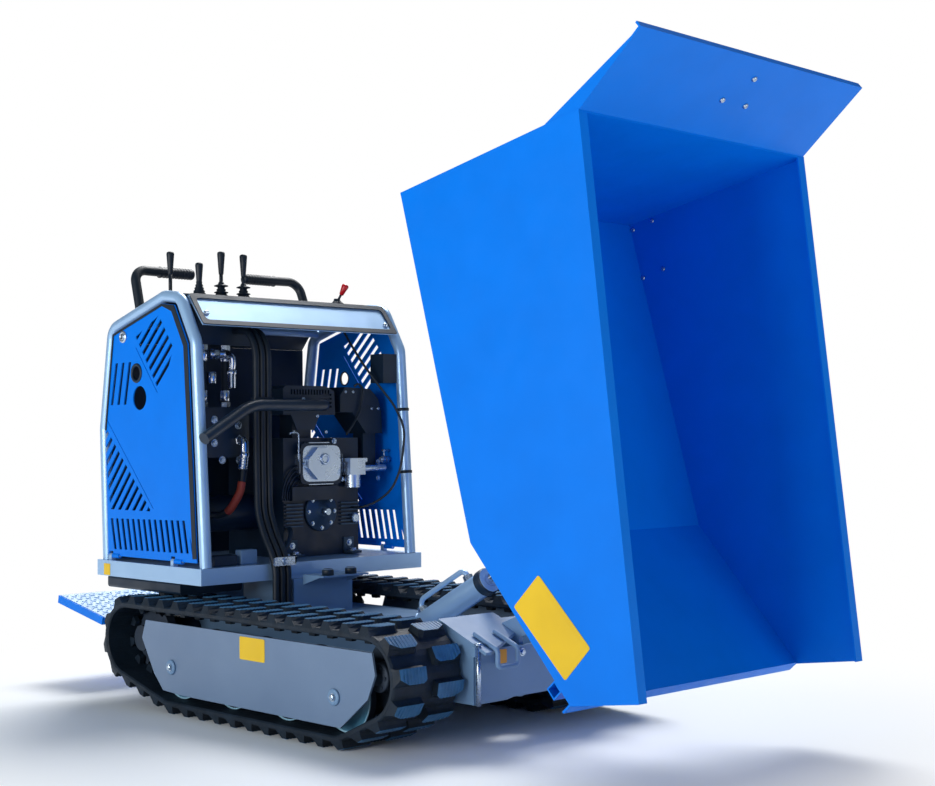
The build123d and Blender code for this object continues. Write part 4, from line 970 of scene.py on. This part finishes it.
# Hydraulics. Bolts on the valve: places (y, z)
VALVE_BOLTS = ((-152, 657), (-221, 615), (-199, 574), (-149, 573), (-221, 670))
VALVE_BOLT_X = -410
VALVE_BOLT_RADIUS = 6.5
# Fittings: place, axis, profile and sides
FITTINGS = (
    ((-410, -153, 621), FORWARD, ((0, 13), (9, 13), (10, 11)), 6),
    ((-438, -206, 828), LEFT, ((0, 14), (14, 14)), 6),
    ((-434, -178, 828), LEFT, ((0, 13), (10, 13)), 6),
    ((-436, -152, 792), DOWN, ((0, 9), (2, 12.5), (12, 12.5), (13, 11.4), (44, 11.4), (46, 9)), 20),
    ((-440, -207, 786), DOWN, ((0, 9), (1, 11.5), (28, 11.5), (30, 9)), 20),
)
# Elbow of the pressure hose, its coloured stretch, and the bent pipe: points, radius, sides, steps, material
HYDRAULIC_TUBES = (
    (((-402, -153, 621), (-392, -153, 621), (-384.5, -153.5, 614), (-383, -154, 603),
      (-382.5, -154.5, 590)), 10.4, 16, 4, 0),
    (((-383.3, -161, 522), (-384.8, -164.5, 500), (-391, -171, 481), (-402, -177.5, 461),
      (-415, -180, 450)), 9.9, 16, 6, 3),
    (((-440, -214, 828), (-437, -196, 828), (-434, -170, 828), (-433, -155, 822), (-434, -151, 806),
      (-436, -152, 792)), 9, 14, 4, 0),
)
SLEEVE_TOP = Vector((-382.4, -153.6, 592))
SLEEVE_RUN = Vector((-2, -8, -60))
SLEEVE = ((0, 10), (1, 12.5), (9, 12.5), (11, 11.4), (40, 11.4), (42, 10))
SLEEVE_RIDGE = ((0, 11), (1, 12.2), (3, 12.2), (4, 11))
SLEEVE_RIDGES = 4
SLEEVE_RIDGE_START = 14
SLEEVE_RIDGE_PITCH = 7
DROP_HOSE_X = -449
DROP_HOSE_YS = (-227.5, -162.5)
DROP_NUT = ((0, 13), (12, 13))
# Ends of a drop hose: z, axis, profile and sides
DROP_ENDS = (
    (850, DOWN, DROP_NUT, 6),
    (838, DOWN, ((0, 10), (2, 11.8), (26, 11.8), (28, 10)), 20),
    (700, UP, DROP_NUT, 6),
    (712, UP, ((0, 10), (2, 11.8), (28, 11.8), (30, 10)), 20),
)
BAND_LOW = (-365, -151)
BAND_HIGH = (-343, -93)
BAND_CORNER = 9
BAND_HEIGHTS = (700, 715)
BAND_WIDTH = 8
CLAMP_LOW = (-153, 326)
CLAMP_HIGH = (-89, 346)
CLAMP_CORNER = 3
CLAMP_X = -271
CLAMP_THICK = 5
CLAMP_ARM = ((-300, -93, 329), (-266, -89, 346))
# Bolts of the clamp: place, axis, radius and material
CLAMP_BOLTS = (((-266, -121, 336), FORWARD, 6.5, 1), ((-312, -80, 343), UP, 6, 1))
# Boxes on the deck: lowest and highest corner, and material
DECK_BOXES = (((-356, -284, 329), (-322, -218, 354), 0), ((-350, -206, 329), (-326, -158, 364), 1))
DECK_BOX_ROUNDING = 3


def make_hydraulic_details():
    """Bolts on the valve, fittings, sleeves, bands and the clamp of the hoses, and the boxes on the deck."""
    bits = Piece("hydraulic_bits", "chassis", "chrome", "chrome", "zinc", "black_rubber", "hose_mark")
    for place in at_x(VALVE_BOLT_X, VALVE_BOLTS):
        bits.hex_bolt(place, FORWARD, VALVE_BOLT_RADIUS, 1)
    each(bits.lathe, FITTINGS)
    each(bits.tube, HYDRAULIC_TUBES)
    bits.lathe(SLEEVE_TOP, SLEEVE_RUN, SLEEVE, sides=20)
    for number in range(SLEEVE_RIDGES):
        along = SLEEVE_RIDGE_START + SLEEVE_RIDGE_PITCH * number
        bits.lathe(SLEEVE_TOP + SLEEVE_RUN.normalized() * along, SLEEVE_RUN, SLEEVE_RIDGE, sides=20)
    for y in DROP_HOSE_YS:
        for z, axis, profile, sides in DROP_ENDS:
            bits.lathe((DROP_HOSE_X, y, z), axis, profile, sides)
    band = rounded(rectangle(BAND_LOW, BAND_HIGH), BAND_CORNER)
    for height in BAND_HEIGHTS:
        bits.prism(at_z(height, band), (0, 0, BAND_WIDTH), 2)
    clamp = rounded(rectangle(CLAMP_LOW, CLAMP_HIGH), CLAMP_CORNER)
    bits.prism(at_x(CLAMP_X, clamp), (CLAMP_THICK, 0, 0), 1)
    bits.box(*CLAMP_ARM, 1)
    each(bits.hex_bolt, CLAMP_BOLTS)
    bits.finish()
    boxes = Piece("deck_boxes", "chassis", "black_plastic", "black_plastic", "grey_paint")
    each(boxes.box, DECK_BOXES)
    boxes.finish(bevel=DECK_BOX_ROUNDING)


# Tipping cylinder: starts are distances from its foot along its run
CYLINDER_FOOT = Vector((60, 0, 195))
CYLINDER_RUN = Vector((489, 0, 263)).normalized()
CYLINDER_UP = Vector((-263, 0, 489)).normalized()
ROD_EYE = Vector((549, 0, 458))
GLAND = ((0, 27.1), (0.5, 29.5), (17, 29.5), (20.5, 27.1))
GLAND_START = 240
GLAND_BOLT = ((0, 2.4), (1.5, 2.4))
GLAND_BOLT_START = 260.4
GLAND_BOLT_CIRCLE = 23
GLAND_BOLTS = 8
WELD = ((0, 27.1), (1.5, 28.6), (4, 28.6), (5.5, 27.1))
WELD_START = 24
PORT_NUT = ((0, 11), (12, 11))
PORT_STARTS = (36, 203)
PORT_HEIGHT = 25
COLLAR = ((0, 14.2), (1, 16), (9, 16), (10, 14.2))
COLLAR_BEFORE_EYE = 26


def on_cylinder(start, up=0.0):
    return CYLINDER_FOOT + CYLINDER_RUN * start + CYLINDER_UP * up


def make_cylinder_details():
    """Gland ring with its bolts, weld ring and pipe nuts on the barrel, and a collar on the rod."""
    rings = Piece("cylinder_rings", "cylinder_barrel", "black_paint", "black_paint", "zinc", "silver_paint")
    rings.ring(on_cylinder(GLAND_START), CYLINDER_RUN, GLAND)
    middle = on_cylinder(GLAND_BOLT_START)
    for place in circle_places(middle, LEFT, CYLINDER_UP, GLAND_BOLT_CIRCLE, GLAND_BOLTS):
        rings.lathe(place, CYLINDER_RUN, GLAND_BOLT, sides=8, material=1)
    rings.ring(on_cylinder(WELD_START), CYLINDER_RUN, WELD, material=2)
    for start in PORT_STARTS:
        rings.lathe(on_cylinder(start, PORT_HEIGHT), CYLINDER_UP, PORT_NUT, sides=6, material=1)
    rings.finish()
    collar = Piece("rod_collar", "cylinder_rod", "chrome", "zinc")
    collar.lathe(ROD_EYE - CYLINDER_RUN * COLLAR_BEFORE_EYE, CYLINDER_RUN, COLLAR, sides=32)
    collar.finish()


# Nose
KNUCKLE = ((443, -204, 190), (452, -178, 208))
HATCH_PIN = ((450, -193, 92), (450, -193, 212), 5, 16, 1)
HATCH_PIN_HEAD = ((450, -193, 212), UP, ((0, 8), (3, 8), (5, 6)), 18, 1)
NOSE_PLATE_X = 451
NOSE_PLATE_LOW = (-138, 170)
NOSE_PLATE_HIGH = (-114, 198)
NOSE_PLATE_CORNER = 3
NOSE_PLATE_THICK = 0.8
NOSE_BOLTS = ((-60, 185), (60, 185), (150, 185))
NOSE_BOLT_X = 443
NOSE_BOLT_RADIUS = 6


def make_nose_details():
    """Knuckle and pin of the hatch, bolts, and a blank plate behind the tie-down bar."""
    nose = Piece("nose_bits", "chassis", "grey_paint", "grey_paint", "zinc", "orange_label")
    nose.box(*KNUCKLE)
    nose.bar(*HATCH_PIN)
    nose.lathe(*HATCH_PIN_HEAD)
    plate = rounded(rectangle(NOSE_PLATE_LOW, NOSE_PLATE_HIGH), NOSE_PLATE_CORNER)
    nose.prism(at_x(NOSE_PLATE_X, plate), (NOSE_PLATE_THICK, 0, 0), 2)
    for place in at_x(NOSE_BOLT_X, NOSE_BOLTS):
        nose.hex_bolt(place, FORWARD, NOSE_BOLT_RADIUS, 1)
    nose.finish()


# Step: local places are (back from its pin, y, height above its pin)
STEP_PIN = Vector((-765, 0, 166))
STEP_SLOPE = radians(10.4)
STEP_BACK = Vector((-cos(STEP_SLOPE), 0, sin(STEP_SLOPE)))
STEP_UP = Vector((sin(STEP_SLOPE), 0, cos(STEP_SLOPE)))
PLATE_START = 6
PLATE_END = 236
PLATE_HALF = 296
PLATE_LAYERS = (9.5, 11)
TREAD_PITCH = 26
TREAD_ROWS = 9
TREAD_COLUMNS = 23
TREAD_FIRST = (16, -284)
TREAD_LAST = (228, 286)
TREAD_SIZE = (8.5, 2.6)
TREAD_OUTLINE = ((-1, 0), (-0.4, -1), (0.4, -1), (1, 0), (0.4, 1), (-0.4, 1))
# Foot and top of a raised bar: share of its size, and height
TREAD_LAYERS = ((1.0, 10.8), (0.75, 12.2))


def on_step(back, y, up):
    return STEP_PIN + STEP_BACK * back + STEP_UP * up + Vector((0, y, 0))


def add_tread(step, back, y, turn):
    """Adds one raised bar of the pattern, turned in the plate's plane."""
    rings = []
    for share, up in TREAD_LAYERS:
        ring = []
        for along, across in TREAD_OUTLINE:
            a = along * TREAD_SIZE[0] * share
            b = across * TREAD_SIZE[1] * share
            ring.append(on_step(back + a * cos(turn) - b * sin(turn), y + a * sin(turn) + b * cos(turn), up))
        rings.append(ring)
    step.solid(rings)


def make_step():
    """Plate on the step with raised bars, every other one turned the other way."""
    step = Piece("step_tread", "platform", "aluminium", "tread_plate")
    outline = rectangle((PLATE_START, -PLATE_HALF), (PLATE_END, PLATE_HALF))
    step.solid([[on_step(*place, up) for place in outline] for up in PLATE_LAYERS])
    for row in range(TREAD_ROWS):
        for column in range(TREAD_COLUMNS):
            for shift, turn in ((0, pi / 4), (TREAD_PITCH / 2, -pi / 4)):
                back = TREAD_FIRST[0] + row * TREAD_PITCH + shift
                y = TREAD_FIRST[1] + column * TREAD_PITCH + shift
                if back <= TREAD_LAST[0] and y <= TREAD_LAST[1]:
                    add_tread(step, back, y, turn)
    step.finish()


PAD_PLACES = ((-213, -37, 300.6), (-213, 33, 300.6))
PAD = ((0, 14), (11, 14), (14, 13), (15.6, 10))


def make_rest_pads():
    """Rubber pads on the skip rest."""
    pads = Piece("rest_pads", "chassis", "black_rubber")
    for place in PAD_PLACES:
        pads.lathe(place, UP, PAD, sides=28)
    pads.finish()


make_camera()
make_light()
make_world()
make_floor()
dress_cad()
for side, sign in SIDES:
    make_track(side, sign)
    make_running_gear(side, sign)
    make_panel(side, sign)
make_skip_details()
make_hoop_details()
make_front_panel()
make_controls()
make_engine_details()
make_engine_front()
make_rear_details()
make_hydraulic_details()
make_cylinder_details()
make_nose_details()
make_step()
make_rest_pads()
